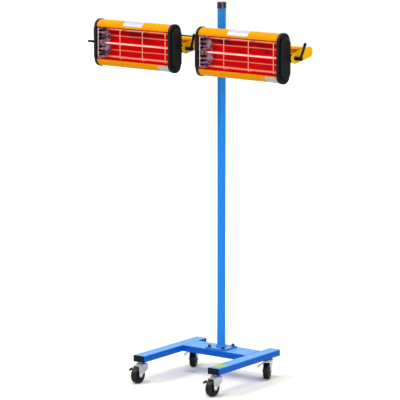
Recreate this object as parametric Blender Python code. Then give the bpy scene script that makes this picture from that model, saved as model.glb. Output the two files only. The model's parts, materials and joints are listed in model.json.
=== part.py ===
# Infrared paint curing lamp: two tilting lamps on a boom that turns and slides on a rolling stand.
# Metres, +Z up, the lamps face -Y. The stand rests on the floor at Z = 0.
import math

import bmesh
import bpy
from mathutils import Euler, Matrix, Vector

# Clearances that all pieces share
GAP = 0.0003
RUNNING_GAP = 0.0008
OVERRUN = 0.002
WELD = 0.000002

# Overall sizes
OVERALL_HEIGHT = 1.437
LAMPS_BELOW_TOP = 0.171
LAMP_PITCH = 0.560
BOOM_YAW = math.radians(9.5)

# Base frame
LEG_LENGTH = 0.405
LEG_REACH = 0.295
LEG_SPACING = 0.349
LEG_WIDTH = 0.050
LEG_THICKNESS = 0.025
LEG_WALL = 0.002
LEG_CORNER = 0.003
PLUG_FLANGE = 0.003
PLUG_INSERT = 0.005
CROSS_DEPTH = 0.100
CROSS_SHIFT = 0.003

# Mast and its foot
MAST_RADIUS = 0.016
MAST_WALL = 0.0015
MAST_CAP_LENGTH = 0.024
MAST_CAP_WALL = 0.0018
MAST_CAP_SPIGOT = 0.018
FLANGE_WIDTH = 0.090
FLANGE_THICKNESS = 0.005
FLANGE_CORNER = 0.004
FLANGE_BOLT_PITCH = 0.065
WELD_RISE = 0.006
WELD_WIDTH = 0.005
WASHER_THICKNESS = 0.0016
WASHER_RADIUS = 0.0078
NUT_RADIUS = 0.0065
NUT_HEIGHT = 0.0065
NUT_DOME = 0.003
BOLT_RADIUS = 0.004
BOLT_HEAD = 0.004

# Casters
CASTER_HEIGHT = 0.080
CASTER_FRONT_INSET = 0.018
CASTER_REAR_INSET = 0.045
CASTER_TRAIL = 0.022
REAR_CASTER_SWIVEL = math.radians(25)
STEM_RADIUS = 0.005
STEM_NUT_RADIUS = 0.008
STEM_NUT_HEIGHT = 0.005
STEM_NECK_RADIUS = 0.0078
STEM_NECK_LENGTH = 0.010
STEM_HEAD_HEIGHT = 0.0025
WHEEL_RADIUS = 0.0315
WHEEL_WIDTH = 0.023
WHEEL_SHOULDER = 0.0045
WHEEL_WEB_RADIUS = 0.022
WHEEL_WEB_RECESS = 0.004
HUB_RADIUS = 0.0095
FORK_WALL = 0.0025
FORK_AXLE_RADIUS = 0.009
FORK_TOP_RADIUS = 0.019
FORK_SKIRT = 0.012
WHEEL_SIDE_GAP = 0.0012
AXLE_RADIUS = 0.004
AXLE_HEAD_RADIUS = 0.0065
AXLE_HEAD = 0.004
BRAKE_WIDTH = 0.013
BRAKE_PIN_RADIUS = 0.0016
BRAKE_BARREL_RADIUS = 0.0035
BRAKE_PEDAL_LENGTH = 0.016
BRAKE_PEDAL_THICKNESS = 0.0026
BRAKE_PEDAL_DROP = math.radians(38)
BRAKE_DROP = 0.010
BRAKE_NOSE = 0.0072
BRAKE_NOSE_HALF = 0.0018

# Height collar, swivel sleeve and their knobs
COLLAR_WALL = 0.0075
COLLAR_HEIGHT = 0.026
COLLAR_EDGE = 0.0015
SLEEVE_WALL = 0.004
SLEEVE_HEIGHT = 0.060
SLEEVE_PLATE_WIDTH = 0.068
SLEEVE_PLATE_THICKNESS = 0.004
SLEEVE_BOLT_PITCH = 0.052
BOSS_RADIUS = 0.009
BOSS_LENGTH = 0.010
KNOB_RADIUS = 0.021
KNOB_LOBE_DEPTH = 0.0035
KNOB_LENGTH = 0.016
KNOB_NECK_RADIUS = 0.008
KNOB_NECK_LENGTH = 0.008
KNOB_EDGE = 0.0025
KNOB_LOBES = 5
KNOB_STEPS_PER_LOBE = 4
STUD_RADIUS = 0.004

# Boom
BOOM_LENGTH = 0.700
BOOM_HEIGHT = 0.040
BOOM_DEPTH = 0.020
BOOM_WALL = 0.002
BOOM_CORNER = 0.002

# Lamp housing and end caps
WINDOW_LENGTH = 0.400
HOUSING_HEIGHT = 0.178
HOUSING_DEPTH = 0.052
HOUSING_WALL = 0.0015
CAP_LENGTH = 0.012
CAP_RIM = 0.003
CAP_FLOOR = 0.005
CAP_EDGE = 0.003
PAD_RISE = 0.0115
PAD_HEIGHT = 0.147
PAD_DEPTH = 0.046
PAD_EDGE = 0.0015
LUG_RADIUS = 0.015
LUG_LENGTH = 0.0145
PIVOT_BEHIND = 0.040

# Reflector, heater tube and guard
REFLECTOR_SHEET = 0.001
REFLECTOR_DEPTH = 0.045
REFLECTOR_SIDE_DEPTH = 0.028
REFLECTOR_SIDE_TAPER = 0.003
REFLECTOR_FLAT = 0.056
REFLECTOR_RIDGE = 0.004
REFLECTOR_FLANGE = 0.004
REFLECTOR_LAP_SHARE = 1.5
REFLECTOR_SEAT = 0.001
REFLECTOR_END_LEAN = 0.030
SLOT_COUNT = 7
SLOT_PITCH = 0.0155
SLOT_LENGTH = 0.008
SLOT_WIDTH = 0.010
SLOT_INSET = 0.005
TUBE_RADIUS = 0.005
TUBE_WALL = 0.001
TUBE_HOLE_GAP = 0.0015
SOCKET_RADIUS = 0.0085
SOCKET_LENGTH = 0.016
SOCKET_DEPTH = 0.013
WIRE_RADIUS = 0.0015
WIRE_BEND = 0.004
WIRE_HALF_HEIGHT = 0.054
WIRE_FORWARD = 0.007
WIRE_PITCH_SHARES = (-0.469, -0.1565, 0.1565, 0.469)

# Yoke bracket, pivot bolt and clamping lever
CHEEK_WALL = 0.003
CHEEK_RADIUS = 0.020
CHEEK_BACK = 0.073
CHEEK_RISE = 0.018
CHANNEL_HEIGHT = 0.034
CHANNEL_FRONT = 0.014
CHANNEL_REAR = 0.008
CHANNEL_WALL = 0.0022
CHANNEL_LIP = 0.009
BRACKET_BOLT_PITCH = 0.120
SPACER_RADIUS = 0.009
PIVOT_HEAD_RADIUS = 0.0075
PIVOT_HEAD = 0.0055
LEVER_HUB_RADIUS = 0.0075
LEVER_HUB_LENGTH = 0.033
LEVER_EDGE = 0.0015
LEVER_ARM_RADIUS = 0.0052
LEVER_WAIST_RADIUS = 0.0042
LEVER_ARM_LENGTH = 0.060
LEVER_TIP_ROUND = 0.008
LEVER_ARM_OUT = math.radians(15)
LEVER_LEAN = {"left": math.radians(-2), "right": math.radians(-9)}

# Junction box, rocker switch and cable glands
BOX_LENGTH = 0.078
BOX_HEIGHT = 0.056
BOX_DEPTH = 0.026
BOX_CORNER = 0.005
ROCKER_LENGTH = 0.019
ROCKER_HEIGHT = 0.024
ROCKER_DEPTH = 0.008
ROCKER_CROWN = 0.0026
ROCKER_ROOT_SHARE = 0.6
ROCKER_PIN_RADIUS = 0.0016
ROCKER_TILT = math.radians(9)
ROCKER_SHIFT = 0.015
BEZEL_RIM = 0.003
BEZEL_RISE = 0.0015
GLAND_RADIUS = 0.0075
GLAND_NUT_LENGTH = 0.012
GLAND_ROOT_RADIUS = 0.0054
GLAND_BOOT_RADIUS = 0.0045
GLAND_BORE_RADIUS = 0.0027
GLAND_BORE_DEPTH = 0.010
GLAND_CAP_REACH = 0.056
GLAND_BOX_REACH = 0.030

# Facets round a full circle, then round half of one, then round a corner
ROUND_STEPS = 20
MEDIUM_STEPS = 16
SMALL_STEPS = 8
HEXAGON = 6
CURL_STEPS = 8
BAR_STEPS = 6
CORNER_STEPS = 2
WIRE_BEND_STEPS = 3
SMOOTH_ANGLE = math.radians(35)

# Places worked out from the sizes above
leg_bottom = CASTER_HEIGHT
leg_top = leg_bottom + LEG_THICKNESS
leg_x = {"left": -LEG_SPACING / 2, "right": LEG_SPACING / 2}
mast_bottom = leg_top + GAP + FLANGE_THICKNESS + GAP
collar_bore = MAST_RADIUS + GAP
sleeve_radius = collar_bore + SLEEVE_WALL
boom_back = -(sleeve_radius + SLEEVE_PLATE_THICKNESS / 2 + GAP)
boom_front = boom_back - BOOM_DEPTH
cheek_reach = CHEEK_BACK + CHEEK_RADIUS
pivot_y = boom_front - GAP - cheek_reach
cap_height = HOUSING_HEIGHT + 2 * CAP_RIM
cap_depth = HOUSING_DEPTH + 2 * CAP_RIM
cap_inner_x = WINDOW_LENGTH / 2
cap_floor_x = cap_inner_x + CAP_LENGTH - CAP_FLOOR
cap_outer_x = cap_inner_x + CAP_LENGTH
pad_x = cap_outer_x + PAD_RISE
housing_half = cap_floor_x - GAP
cheek_x = pad_x + RUNNING_GAP
cheek_outer_x = cheek_x + CHEEK_WALL
window_half = HOUSING_HEIGHT / 2 - HOUSING_DEPTH / 2
boom_z = OVERALL_HEIGHT - LAMPS_BELOW_TOP + CHEEK_RISE
sleeve_bottom = boom_z - SLEEVE_HEIGHT / 2
collar_bottom = sleeve_bottom - GAP - COLLAR_HEIGHT
# Depths in a lamp are taken from its pivot, so its middle lies at -PIVOT_BEHIND
middle_y = -PIVOT_BEHIND
housing_front_y = middle_y - HOUSING_DEPTH / 2
housing_back_y = middle_y + HOUSING_DEPTH / 2
reflector_y = housing_front_y + HOUSING_WALL + REFLECTOR_SEAT


def clear_scene():
    for obj in list(bpy.data.objects):
        bpy.data.objects.remove(obj, do_unlink=True)


def make_material(name, colour, roughness, metallic=0.0):
    material = bpy.data.materials.new(name)
    material.use_nodes = True
    surface = material.node_tree.nodes["Principled BSDF"]
    surface.inputs["Base Color"].default_value = (*colour, 1.0)
    surface.inputs["Roughness"].default_value = roughness
    surface.inputs["Metallic"].default_value = metallic
    material.diffuse_color = (*colour, 1.0)
    return material


def make_empty(name, parent=None, location=(0, 0, 0), rotation=(0, 0, 0)):
    empty = bpy.data.objects.new(name, None)
    bpy.context.scene.collection.objects.link(empty)
    empty.parent = parent
    empty.location = location
    empty.rotation_euler = rotation
    return empty


def place(name, mesh, material, parent, location=(0, 0, 0), rotation=(0, 0, 0)):
    obj = bpy.data.objects.new(name, mesh)
    bpy.context.scene.collection.objects.link(obj)
    if not mesh.materials:
        mesh.materials.append(material)
    obj.parent = parent
    obj.location = location
    obj.rotation_euler = rotation
    return obj


def finished(shape, name):
    """Weld the shape, face it outward and turn it into a mesh with soft round faces."""
    bmesh.ops.remove_doubles(shape, verts=shape.verts, dist=WELD)
    bmesh.ops.recalc_face_normals(shape, faces=shape.faces)
    mesh = bpy.data.meshes.new(name)
    shape.to_mesh(mesh)
    shape.free()
    mesh.shade_smooth()
    mesh.set_sharp_from_angle(angle=SMOOTH_ANGLE)
    return mesh


def along(axis, across, height):
    """A point whose two outline coordinates are across and whose third, along the axis, is height."""
    u, v = across
    return {"X": (height, u, v), "Y": (u, height, v), "Z": (u, v, height)}[axis]


def lofted(rings, name):
    """A closed solid through rings of points, the same number in each."""
    shape = bmesh.new()
    loops = [[shape.verts.new(point) for point in ring] for ring in rings]
    for low, high in zip(loops, loops[1:]):
        for here, there in zip(range(len(low)), [*range(1, len(low)), 0]):
            shape.faces.new((low[here], low[there], high[there], high[here]))
    shape.faces.new(loops[0])
    shape.faces.new(loops[-1])
    return finished(shape, name)


def extruded(outline, axis, low, high, name="extrusion"):
    shape = bmesh.new()
    corners = [shape.verts.new(along(axis, point, low)) for point in outline]
    end = shape.faces.new(corners)
    grown = bmesh.ops.extrude_face_region(shape, geom=[end])["geom"]
    moved = [part for part in grown if isinstance(part, bmesh.types.BMVert)]
    bmesh.ops.translate(shape, verts=moved, vec=along(axis, (0, 0), high - low))
    return finished(shape, name)


def turned(profile, axis, steps, name="turning", closed=False, centre=(0, 0, 0)):
    """A solid of revolution: the profile holds (radius, place along the axis) points."""
    shape = bmesh.new()
    points = [shape.verts.new((radius, 0, height)) for radius, height in profile]
    pairs = list(zip(points, points[1:]))
    if closed:
        pairs.append((points[-1], points[0]))
    edges = [shape.edges.new(pair) for pair in pairs]
    bmesh.ops.spin(
        shape, geom=[*points, *edges], axis=(0, 0, 1), cent=(0, 0, 0),
        angle=math.tau, steps=steps, use_merge=True,
    )
    quarter = math.pi / 2
    turn = {"X": Euler((0, quarter, 0)), "Y": Euler((-quarter, 0, 0)), "Z": Euler((0, 0, 0))}[axis]
    matrix = Matrix.Translation(centre) @ turn.to_matrix().to_4x4()
    bmesh.ops.transform(shape, matrix=matrix, verts=shape.verts)
    return finished(shape, name)


def rod(radius, axis, low, high, steps=SMALL_STEPS, centre=(0, 0, 0)):
    profile = [(0, low), (radius, low), (radius, high), (0, high)]
    return turned(profile, axis, steps, centre=centre)


def clear_of(radius, steps=SMALL_STEPS):
    """Corner radius of a faceted bore whose flats keep the gap round a rod of this radius as it turns."""
    return (radius + GAP) / math.cos(math.pi / steps)


def ring(inner, outer, axis, low, high, steps=ROUND_STEPS, centre=(0, 0, 0)):
    profile = [(inner, low), (outer, low), (outer, high), (inner, high)]
    return turned(profile, axis, steps, closed=True, centre=centre)


def box(low, high):
    outline = [(low[0], low[1]), (high[0], low[1]), (high[0], high[1]), (low[0], high[1])]
    return extruded(outline, "Z", low[2], high[2])


def moved(mesh, matrix):
    mesh.transform(matrix)
    return mesh


def combined(base, operation, *others):
    """The mesh left when each of the others has been joined to, or cut from, the base."""
    scene = bpy.context.scene.collection
    body = bpy.data.objects.new("body", base)
    scene.objects.link(body)
    helpers = []
    for mesh in others:
        helper = bpy.data.objects.new("tool", mesh)
        scene.objects.link(helper)
        helpers.append(helper)
        step = body.modifiers.new(operation.lower(), "BOOLEAN")
        step.operation = operation
        step.object = helper
    bpy.context.view_layer.update()
    graph = bpy.context.evaluated_depsgraph_get()
    result = bpy.data.meshes.new_from_object(body.evaluated_get(graph))
    for obj in [body, *helpers]:
        bpy.data.objects.remove(obj, do_unlink=True)
    result.materials.clear()
    return result


def fused(base, *others):
    return combined(base, "UNION", *others)


def cut(base, *others):
    return combined(base, "DIFFERENCE", *others)


def arc(centre, radius, start, end, steps):
    """Points on an arc, in the plane of the outline, with both of its ends."""
    points = []
    for step in range(steps + 1):
        angle = start + (end - start) * step / steps
        points.append((centre[0] + radius * math.cos(angle), centre[1] + radius * math.sin(angle)))
    return points


def rounded(width, height, corner, centre=(0, 0)):
    """A rectangle with round corners."""
    points = []
    quarter = math.pi / 2
    signs = ((1, 1), (-1, 1), (-1, -1), (1, -1))
    for turn, (right, up) in enumerate(signs):
        x = centre[0] + right * (width / 2 - corner)
        y = centre[1] + up * (height / 2 - corner)
        points += arc((x, y), corner, turn * quarter, (turn + 1) * quarter, CORNER_STEPS)
    return points


def racetrack(depth, height, middle):
    """Two half circles joined by straights: the first coordinate is depth, the second height."""
    radius = depth / 2
    straight = height / 2 - radius
    top = arc((middle, straight), radius, 0, math.pi, CURL_STEPS)
    bottom = arc((middle, -straight), radius, math.pi, math.tau, CURL_STEPS)
    return top + bottom


def stadium(first, second, radius, steps=BAR_STEPS):
    """A flat bar with round ends between two centres."""
    heading = math.atan2(second[1] - first[1], second[0] - first[0])
    quarter = math.pi / 2
    near = arc(first, radius, heading + quarter, heading + 3 * quarter, steps)
    far = arc(second, radius, heading - quarter, heading + quarter, steps)
    return near + far


def bolt_places(pitch):
    return [(x * pitch / 2, y * pitch / 2) for x, y in ((-1, -1), (1, -1), (1, 1), (-1, 1))]


def make_leg():
    """A rectangular tube along Y, open at both ends, with the caster stems screwed into its underside."""
    outer = rounded(LEG_WIDTH, LEG_THICKNESS, LEG_CORNER)
    inner = rounded(LEG_WIDTH - 2 * LEG_WALL, LEG_THICKNESS - 2 * LEG_WALL, LEG_CORNER - LEG_WALL)
    front = -LEG_REACH + PLUG_FLANGE
    back = LEG_LENGTH - LEG_REACH - PLUG_FLANGE
    tube = extruded(outer, "Y", front, back)
    hollow = extruded(inner, "Y", front - OVERRUN, back + OVERRUN)
    stem = make_caster_stem()
    underside = -LEG_THICKNESS / 2
    stems = [moved(stem.copy(), Matrix.Translation((0, y, underside))) for y in caster_y.values()]
    return fused(cut(tube, hollow), *stems)


def make_leg_plug():
    """Black push-in plug for a leg's front end."""
    flange = rounded(LEG_WIDTH, LEG_THICKNESS, LEG_CORNER)
    clear = LEG_WALL + GAP
    insert = rounded(LEG_WIDTH - 2 * clear, LEG_THICKNESS - 2 * clear, LEG_CORNER - LEG_WALL)
    face = PLUG_FLANGE - GAP
    plate = extruded(flange, "Y", 0, face)
    block = extruded(insert, "Y", face / 2, face + PLUG_INSERT)
    return fused(plate, block)


def make_cross_member():
    """A wide rectangular tube between the legs, drilled for the mast's flange."""
    half = LEG_SPACING / 2 - LEG_WIDTH / 2 - GAP
    centre = (CROSS_SHIFT, 0)
    outer = rounded(CROSS_DEPTH, LEG_THICKNESS, LEG_CORNER, centre)
    inner = rounded(CROSS_DEPTH - 2 * LEG_WALL, LEG_THICKNESS - 2 * LEG_WALL, LEG_CORNER - LEG_WALL, centre)
    tube = extruded(outer, "X", -half, half)
    hollow = extruded(inner, "X", -half - OVERRUN, half + OVERRUN)
    top = LEG_THICKNESS / 2
    holes = [
        rod(BOLT_RADIUS + GAP, "Z", top - LEG_WALL - OVERRUN, top + OVERRUN, HEXAGON, (x, y, 0))
        for x, y in bolt_places(FLANGE_BOLT_PITCH)
    ]
    return cut(tube, hollow, *holes)


def make_flange():
    """The mast's foot plate with its weld bead and its four bolts, washers and domed nuts."""
    outline = rounded(FLANGE_WIDTH, FLANGE_WIDTH, FLANGE_CORNER)
    plate = extruded(outline, "Z", 0, FLANGE_THICKNESS)
    inner = MAST_RADIUS + GAP
    top = FLANGE_THICKNESS
    bead = [
        (inner, top / 2), (inner + WELD_WIDTH, top / 2), (inner + WELD_WIDTH, top),
        (inner + WELD_WIDTH / 2, top + WELD_RISE / 2), (inner + GAP, top + WELD_RISE), (inner, top + WELD_RISE),
    ]
    under = -GAP - LEG_WALL - GAP
    washer = top + WASHER_THICKNESS
    nut = washer + NUT_HEIGHT
    bolt = [
        (0, under - BOLT_HEAD), (NUT_RADIUS, under - BOLT_HEAD), (NUT_RADIUS, under), (BOLT_RADIUS, under),
        (BOLT_RADIUS, top / 2), (WASHER_RADIUS, top / 2), (WASHER_RADIUS, washer), (NUT_RADIUS, washer),
        (NUT_RADIUS, nut), (NUT_RADIUS / 2, nut + NUT_DOME), (0, nut + NUT_DOME),
    ]
    bolts = [turned(bolt, "Z", HEXAGON, centre=(x, y, 0)) for x, y in bolt_places(FLANGE_BOLT_PITCH)]
    return fused(plate, turned(bead, "Z", ROUND_STEPS, closed=True), *bolts)


def make_mast():
    top = OVERALL_HEIGHT - MAST_CAP_WALL - GAP
    return ring(MAST_RADIUS - MAST_WALL, MAST_RADIUS, "Z", mast_bottom, top, ROUND_STEPS)


def make_mast_cap():
    """A thin skirt outside the tube, a domed top and a hollow spigot inside it."""
    outer = MAST_RADIUS + GAP + MAST_CAP_WALL
    skirt = MAST_RADIUS + GAP
    inner = MAST_RADIUS - MAST_WALL - GAP
    top = OVERALL_HEIGHT
    under = top - MAST_CAP_WALL
    profile = [
        (0, under), (inner - MAST_CAP_WALL, under), (inner - MAST_CAP_WALL, top - MAST_CAP_SPIGOT),
        (inner, top - MAST_CAP_SPIGOT), (inner, under), (skirt, under), (skirt, top - MAST_CAP_LENGTH),
        (outer, top - MAST_CAP_LENGTH), (outer, top - MAST_CAP_WALL), (outer - MAST_CAP_WALL / 2, top), (0, top),
    ]
    return turned(profile, "Z", ROUND_STEPS)


def make_caster_stem():
    """Threaded stem with its nut inside the leg, a neck under it and the rivet that carries the fork."""
    fork_top = -STEM_NECK_LENGTH
    rivet = fork_top - 2 * GAP - FORK_WALL
    seat = LEG_WALL / 2
    nut = LEG_WALL + STEM_NUT_HEIGHT
    profile = [
        (0, rivet - STEM_HEAD_HEIGHT), (STEM_NUT_RADIUS, rivet - STEM_HEAD_HEIGHT), (STEM_NUT_RADIUS, rivet),
        (STEM_RADIUS, rivet), (STEM_RADIUS, fork_top), (STEM_NECK_RADIUS, fork_top), (STEM_NECK_RADIUS, seat),
        (STEM_NUT_RADIUS, seat), (STEM_NUT_RADIUS, nut), (0, nut),
    ]
    return turned(profile, "Z", SMALL_STEPS)


# A caster's own frame: origin on its swivel axis at the leg's underside, wheel trailing toward -Y
wheel_y = -CASTER_TRAIL
wheel_z = -CASTER_HEIGHT + WHEEL_RADIUS
fork_half = WHEEL_WIDTH / 2 + WHEEL_SIDE_GAP
fork_outer = fork_half + FORK_WALL
fork_top_z = -STEM_NECK_LENGTH - GAP
brake_x = -(fork_outer + GAP + BRAKE_BARREL_RADIUS)
brake_z = fork_top_z - BRAKE_DROP
brake_y = wheel_y
caster_y = {
    "front": -LEG_REACH + CASTER_FRONT_INSET,
    "rear": LEG_LENGTH - LEG_REACH - CASTER_REAR_INSET,
}


def make_fork():
    """A pressed fork: top plate, two tapering cheeks, the riveted axle, and ears with a pin for the brake."""
    skirt_z = fork_top_z - FORK_SKIRT
    front = wheel_y - FORK_AXLE_RADIUS
    outline = [(FORK_TOP_RADIUS, fork_top_z), (FORK_TOP_RADIUS, skirt_z)]
    outline += arc((wheel_y, wheel_z), FORK_AXLE_RADIUS, 0, -math.pi, BAR_STEPS)
    outline += [(front - FORK_WALL, skirt_z), (front, fork_top_z)]
    block = extruded(outline, "X", -fork_outer, fork_outer)
    plan = stadium((0, 0), (0, wheel_y), FORK_TOP_RADIUS, CURL_STEPS)
    trim = extruded(plan, "Z", wheel_z - WHEEL_RADIUS, fork_top_z + OVERRUN)
    shell = combined(block, "INTERSECT", trim)
    far = WHEEL_RADIUS + CASTER_TRAIL
    room = box((-fork_half, -far, -CASTER_HEIGHT), (fork_half, far, fork_top_z - FORK_WALL))
    hole = rod(clear_of(STEM_RADIUS), "Z", fork_top_z - FORK_WALL - OVERRUN, fork_top_z + OVERRUN)
    half = BRAKE_WIDTH / 2 + RUNNING_GAP
    reach = BRAKE_BARREL_RADIUS + RUNNING_GAP
    window = box(
        (-fork_outer - OVERRUN, brake_y - half, brake_z - BRAKE_NOSE),
        (-fork_half + OVERRUN, brake_y + half, brake_z + reach),
    )
    shell = cut(shell, room, hole, window)
    ears = []
    ear_radius = BRAKE_PIN_RADIUS + FORK_WALL / 2
    for side in (-1, 1):
        inner = brake_y + side * half
        root_x = FORK_WALL / 2 - fork_outer - ear_radius
        ear = stadium((brake_x, brake_z), (root_x, brake_z), ear_radius)
        ears.append(extruded(ear, "Y", *sorted((inner, inner + side * FORK_WALL))))
    pin_end = half + FORK_WALL / 2
    pin = rod(BRAKE_PIN_RADIUS, "Y", -pin_end, pin_end, centre=(brake_x, brake_y, brake_z))
    return fused(shell, *ears, pin, make_axle())


def make_wheel():
    """One-piece wheel: rounded tread, recessed web, bored hub. A flat of the tread lies lowest."""
    half_facet = math.pi / ROUND_STEPS
    tread = WHEEL_RADIUS / math.cos(half_facet)
    half = WHEEL_WIDTH / 2
    web = half - WHEEL_WEB_RECESS
    hub = fork_half - GAP
    bore = AXLE_RADIUS + GAP
    side = [
        (bore, hub), (HUB_RADIUS, hub), (HUB_RADIUS, web), (WHEEL_WEB_RADIUS, web),
        (WHEEL_WEB_RADIUS + WHEEL_WEB_RECESS / 2, half), (tread - WHEEL_SHOULDER / 2, half),
        (tread, half - WHEEL_SHOULDER),
    ]
    other = [(radius, -place_along) for radius, place_along in reversed(side)]
    wheel = turned(side + other, "X", ROUND_STEPS, closed=True)
    return moved(wheel, Matrix.Rotation(half_facet, 4, "X"))


def make_axle():
    """The wheel's axle with a round head outside each cheek."""
    end = fork_outer + AXLE_HEAD
    seat = fork_outer - FORK_WALL / 2
    profile = [
        (0, -end), (AXLE_HEAD_RADIUS, -end), (AXLE_HEAD_RADIUS, -seat), (AXLE_RADIUS, -seat),
        (AXLE_RADIUS, seat), (AXLE_HEAD_RADIUS, seat), (AXLE_HEAD_RADIUS, end), (0, end),
    ]
    return turned(profile, "X", SMALL_STEPS, centre=(0, wheel_y, wheel_z))


def make_brake():
    """A side brake: barrel on the fork's pin, a pedal sloping outward and a nose by the tread."""
    bore = clear_of(BRAKE_PIN_RADIUS)
    half = BRAKE_WIDTH / 2
    barrel = ring(bore, BRAKE_BARREL_RADIUS, "Y", -half, half, SMALL_STEPS)
    slope = (-math.cos(BRAKE_PEDAL_DROP), -math.sin(BRAKE_PEDAL_DROP))
    start = bore + BRAKE_PEDAL_THICKNESS / 2
    reach = start + BRAKE_PEDAL_LENGTH
    pedal = stadium(
        (slope[0] * start, slope[1] * start), (slope[0] * reach, slope[1] * reach), BRAKE_PEDAL_THICKNESS / 2
    )
    root = (bore + BRAKE_NOSE_HALF, -BRAKE_NOSE_HALF)
    tip = (-brake_x - WHEEL_WIDTH / 2 - WHEEL_SIDE_GAP - BRAKE_NOSE_HALF, -BRAKE_NOSE + 2 * BRAKE_NOSE_HALF)
    nose = stadium(root, tip, BRAKE_NOSE_HALF)
    return fused(barrel, extruded(pedal, "Y", -half, half), extruded(nose, "Y", -half + GAP, half - GAP))


def make_collar():
    """Clamp ring on the mast with a boss for its knob's stud."""
    outer = collar_bore + COLLAR_WALL
    top = COLLAR_HEIGHT
    profile = [
        (collar_bore, 0), (outer - COLLAR_EDGE, 0), (outer, COLLAR_EDGE), (outer, top - COLLAR_EDGE),
        (outer - COLLAR_EDGE, top), (collar_bore, top),
    ]
    body = turned(profile, "Z", ROUND_STEPS, closed=True)
    middle = (0, 0, COLLAR_HEIGHT / 2)
    boss = rod(BOSS_RADIUS, "Y", outer - COLLAR_WALL / 2, outer + BOSS_LENGTH, MEDIUM_STEPS, middle)
    bore = rod(clear_of(STUD_RADIUS), "Y", collar_bore - OVERRUN, outer + BOSS_LENGTH + OVERRUN, centre=middle)
    return cut(fused(body, boss), bore)


def make_sleeve():
    """Swivel sleeve on the mast: its plate carries the boom on two bolts, and a boss takes its knob."""
    body = ring(collar_bore, sleeve_radius, "Z", 0, SLEEVE_HEIGHT, ROUND_STEPS)
    half = SLEEVE_PLATE_WIDTH / 2
    outline = rounded(SLEEVE_PLATE_WIDTH, SLEEVE_HEIGHT, LEG_CORNER, (0, SLEEVE_HEIGHT / 2))
    front = boom_back + GAP
    plate = extruded(outline, "Y", front, front + SLEEVE_PLATE_THICKNESS)
    middle = (0, 0, SLEEVE_HEIGHT / 2)
    boss = rod(BOSS_RADIUS, "Y", sleeve_radius - SLEEVE_WALL / 2, sleeve_radius + BOSS_LENGTH, MEDIUM_STEPS, middle)
    body = fused(body, plate, boss)
    core = rod(collar_bore, "Z", -OVERRUN, SLEEVE_HEIGHT + OVERRUN, ROUND_STEPS)
    bore = rod(clear_of(STUD_RADIUS), "Y", collar_bore - OVERRUN, sleeve_radius + BOSS_LENGTH + OVERRUN, centre=middle)
    back = front + SLEEVE_PLATE_THICKNESS
    head = boom_front - GAP
    bolt = [
        (0, head - BOLT_HEAD), (NUT_RADIUS, head - BOLT_HEAD), (NUT_RADIUS, head), (BOLT_RADIUS, head),
        (BOLT_RADIUS, (front + back) / 2), (NUT_RADIUS, (front + back) / 2), (NUT_RADIUS, back + BOLT_HEAD),
        (0, back + BOLT_HEAD),
    ]
    bolts = [
        turned(bolt, "Y", HEXAGON, centre=(side * SLEEVE_BOLT_PITCH / 2, 0, SLEEVE_HEIGHT / 2))
        for side in (-1, 1)
    ]
    return fused(cut(body, core, bore), *bolts)


def make_knob(boss_end, stud_tip):
    """Lobed hand knob along +Y with its stud; distances are from the mast's axis."""
    start = boss_end + GAP
    neck_end = start + KNOB_NECK_LENGTH
    end = neck_end + KNOB_LENGTH
    count = KNOB_STEPS_PER_LOBE * KNOB_LOBES

    def lobed(inset):
        points = []
        for step in range(count):
            angle = math.tau * step / count
            radius = KNOB_RADIUS - inset - KNOB_LOBE_DEPTH * (1 - math.cos(KNOB_LOBES * angle)) / 2
            points.append((radius * math.cos(angle), radius * math.sin(angle)))
        return points

    stations = ((neck_end, KNOB_EDGE), (neck_end + KNOB_EDGE, 0), (end - KNOB_EDGE, 0), (end, KNOB_EDGE))
    head = lofted([[along("Y", point, y) for point in lobed(inset)] for y, inset in stations], "head")
    neck = rod(KNOB_NECK_RADIUS, "Y", start, neck_end + KNOB_EDGE)
    stud = rod(STUD_RADIUS, "Y", stud_tip, start + KNOB_NECK_LENGTH / 2)
    return fused(head, neck, stud)


def make_boom():
    """A rectangular tube along X, drilled for the sleeve plate's and the brackets' bolts."""
    half = BOOM_LENGTH / 2
    outer = rounded(BOOM_DEPTH, BOOM_HEIGHT, BOOM_CORNER + BOOM_WALL)
    inner = rounded(BOOM_DEPTH - 2 * BOOM_WALL, BOOM_HEIGHT - 2 * BOOM_WALL, BOOM_CORNER)
    tube = extruded(outer, "X", -half, half)
    hollow = extruded(inner, "X", -half - OVERRUN, half + OVERRUN)
    reach = BOOM_DEPTH / 2 + OVERRUN
    holes = [rod(BOLT_RADIUS + GAP, "Y", -reach, reach, HEXAGON, (x, 0, 0)) for x in boom_bolt_x()]
    return cut(tube, hollow, *holes)


def bracket_bolt_x():
    return [side * LAMP_PITCH / 2 + end * BRACKET_BOLT_PITCH / 2 for side in (-1, 1) for end in (-1, 1)]


def boom_bolt_x():
    return [*bracket_bolt_x(), -SLEEVE_BOLT_PITCH / 2, SLEEVE_BOLT_PITCH / 2]


def make_boom_plug():
    """Black push-in plug for the boom's left end."""
    flange = rounded(BOOM_DEPTH, BOOM_HEIGHT, BOOM_CORNER + BOOM_WALL)
    clear = BOOM_WALL + GAP
    insert = rounded(BOOM_DEPTH - 2 * clear, BOOM_HEIGHT - 2 * clear, BOOM_CORNER)
    face = -BOOM_LENGTH / 2 - GAP
    plate = extruded(flange, "X", face - PLUG_FLANGE, face)
    block = extruded(insert, "X", face - PLUG_FLANGE / 2, face + PLUG_INSERT)
    return fused(plate, block)


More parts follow.
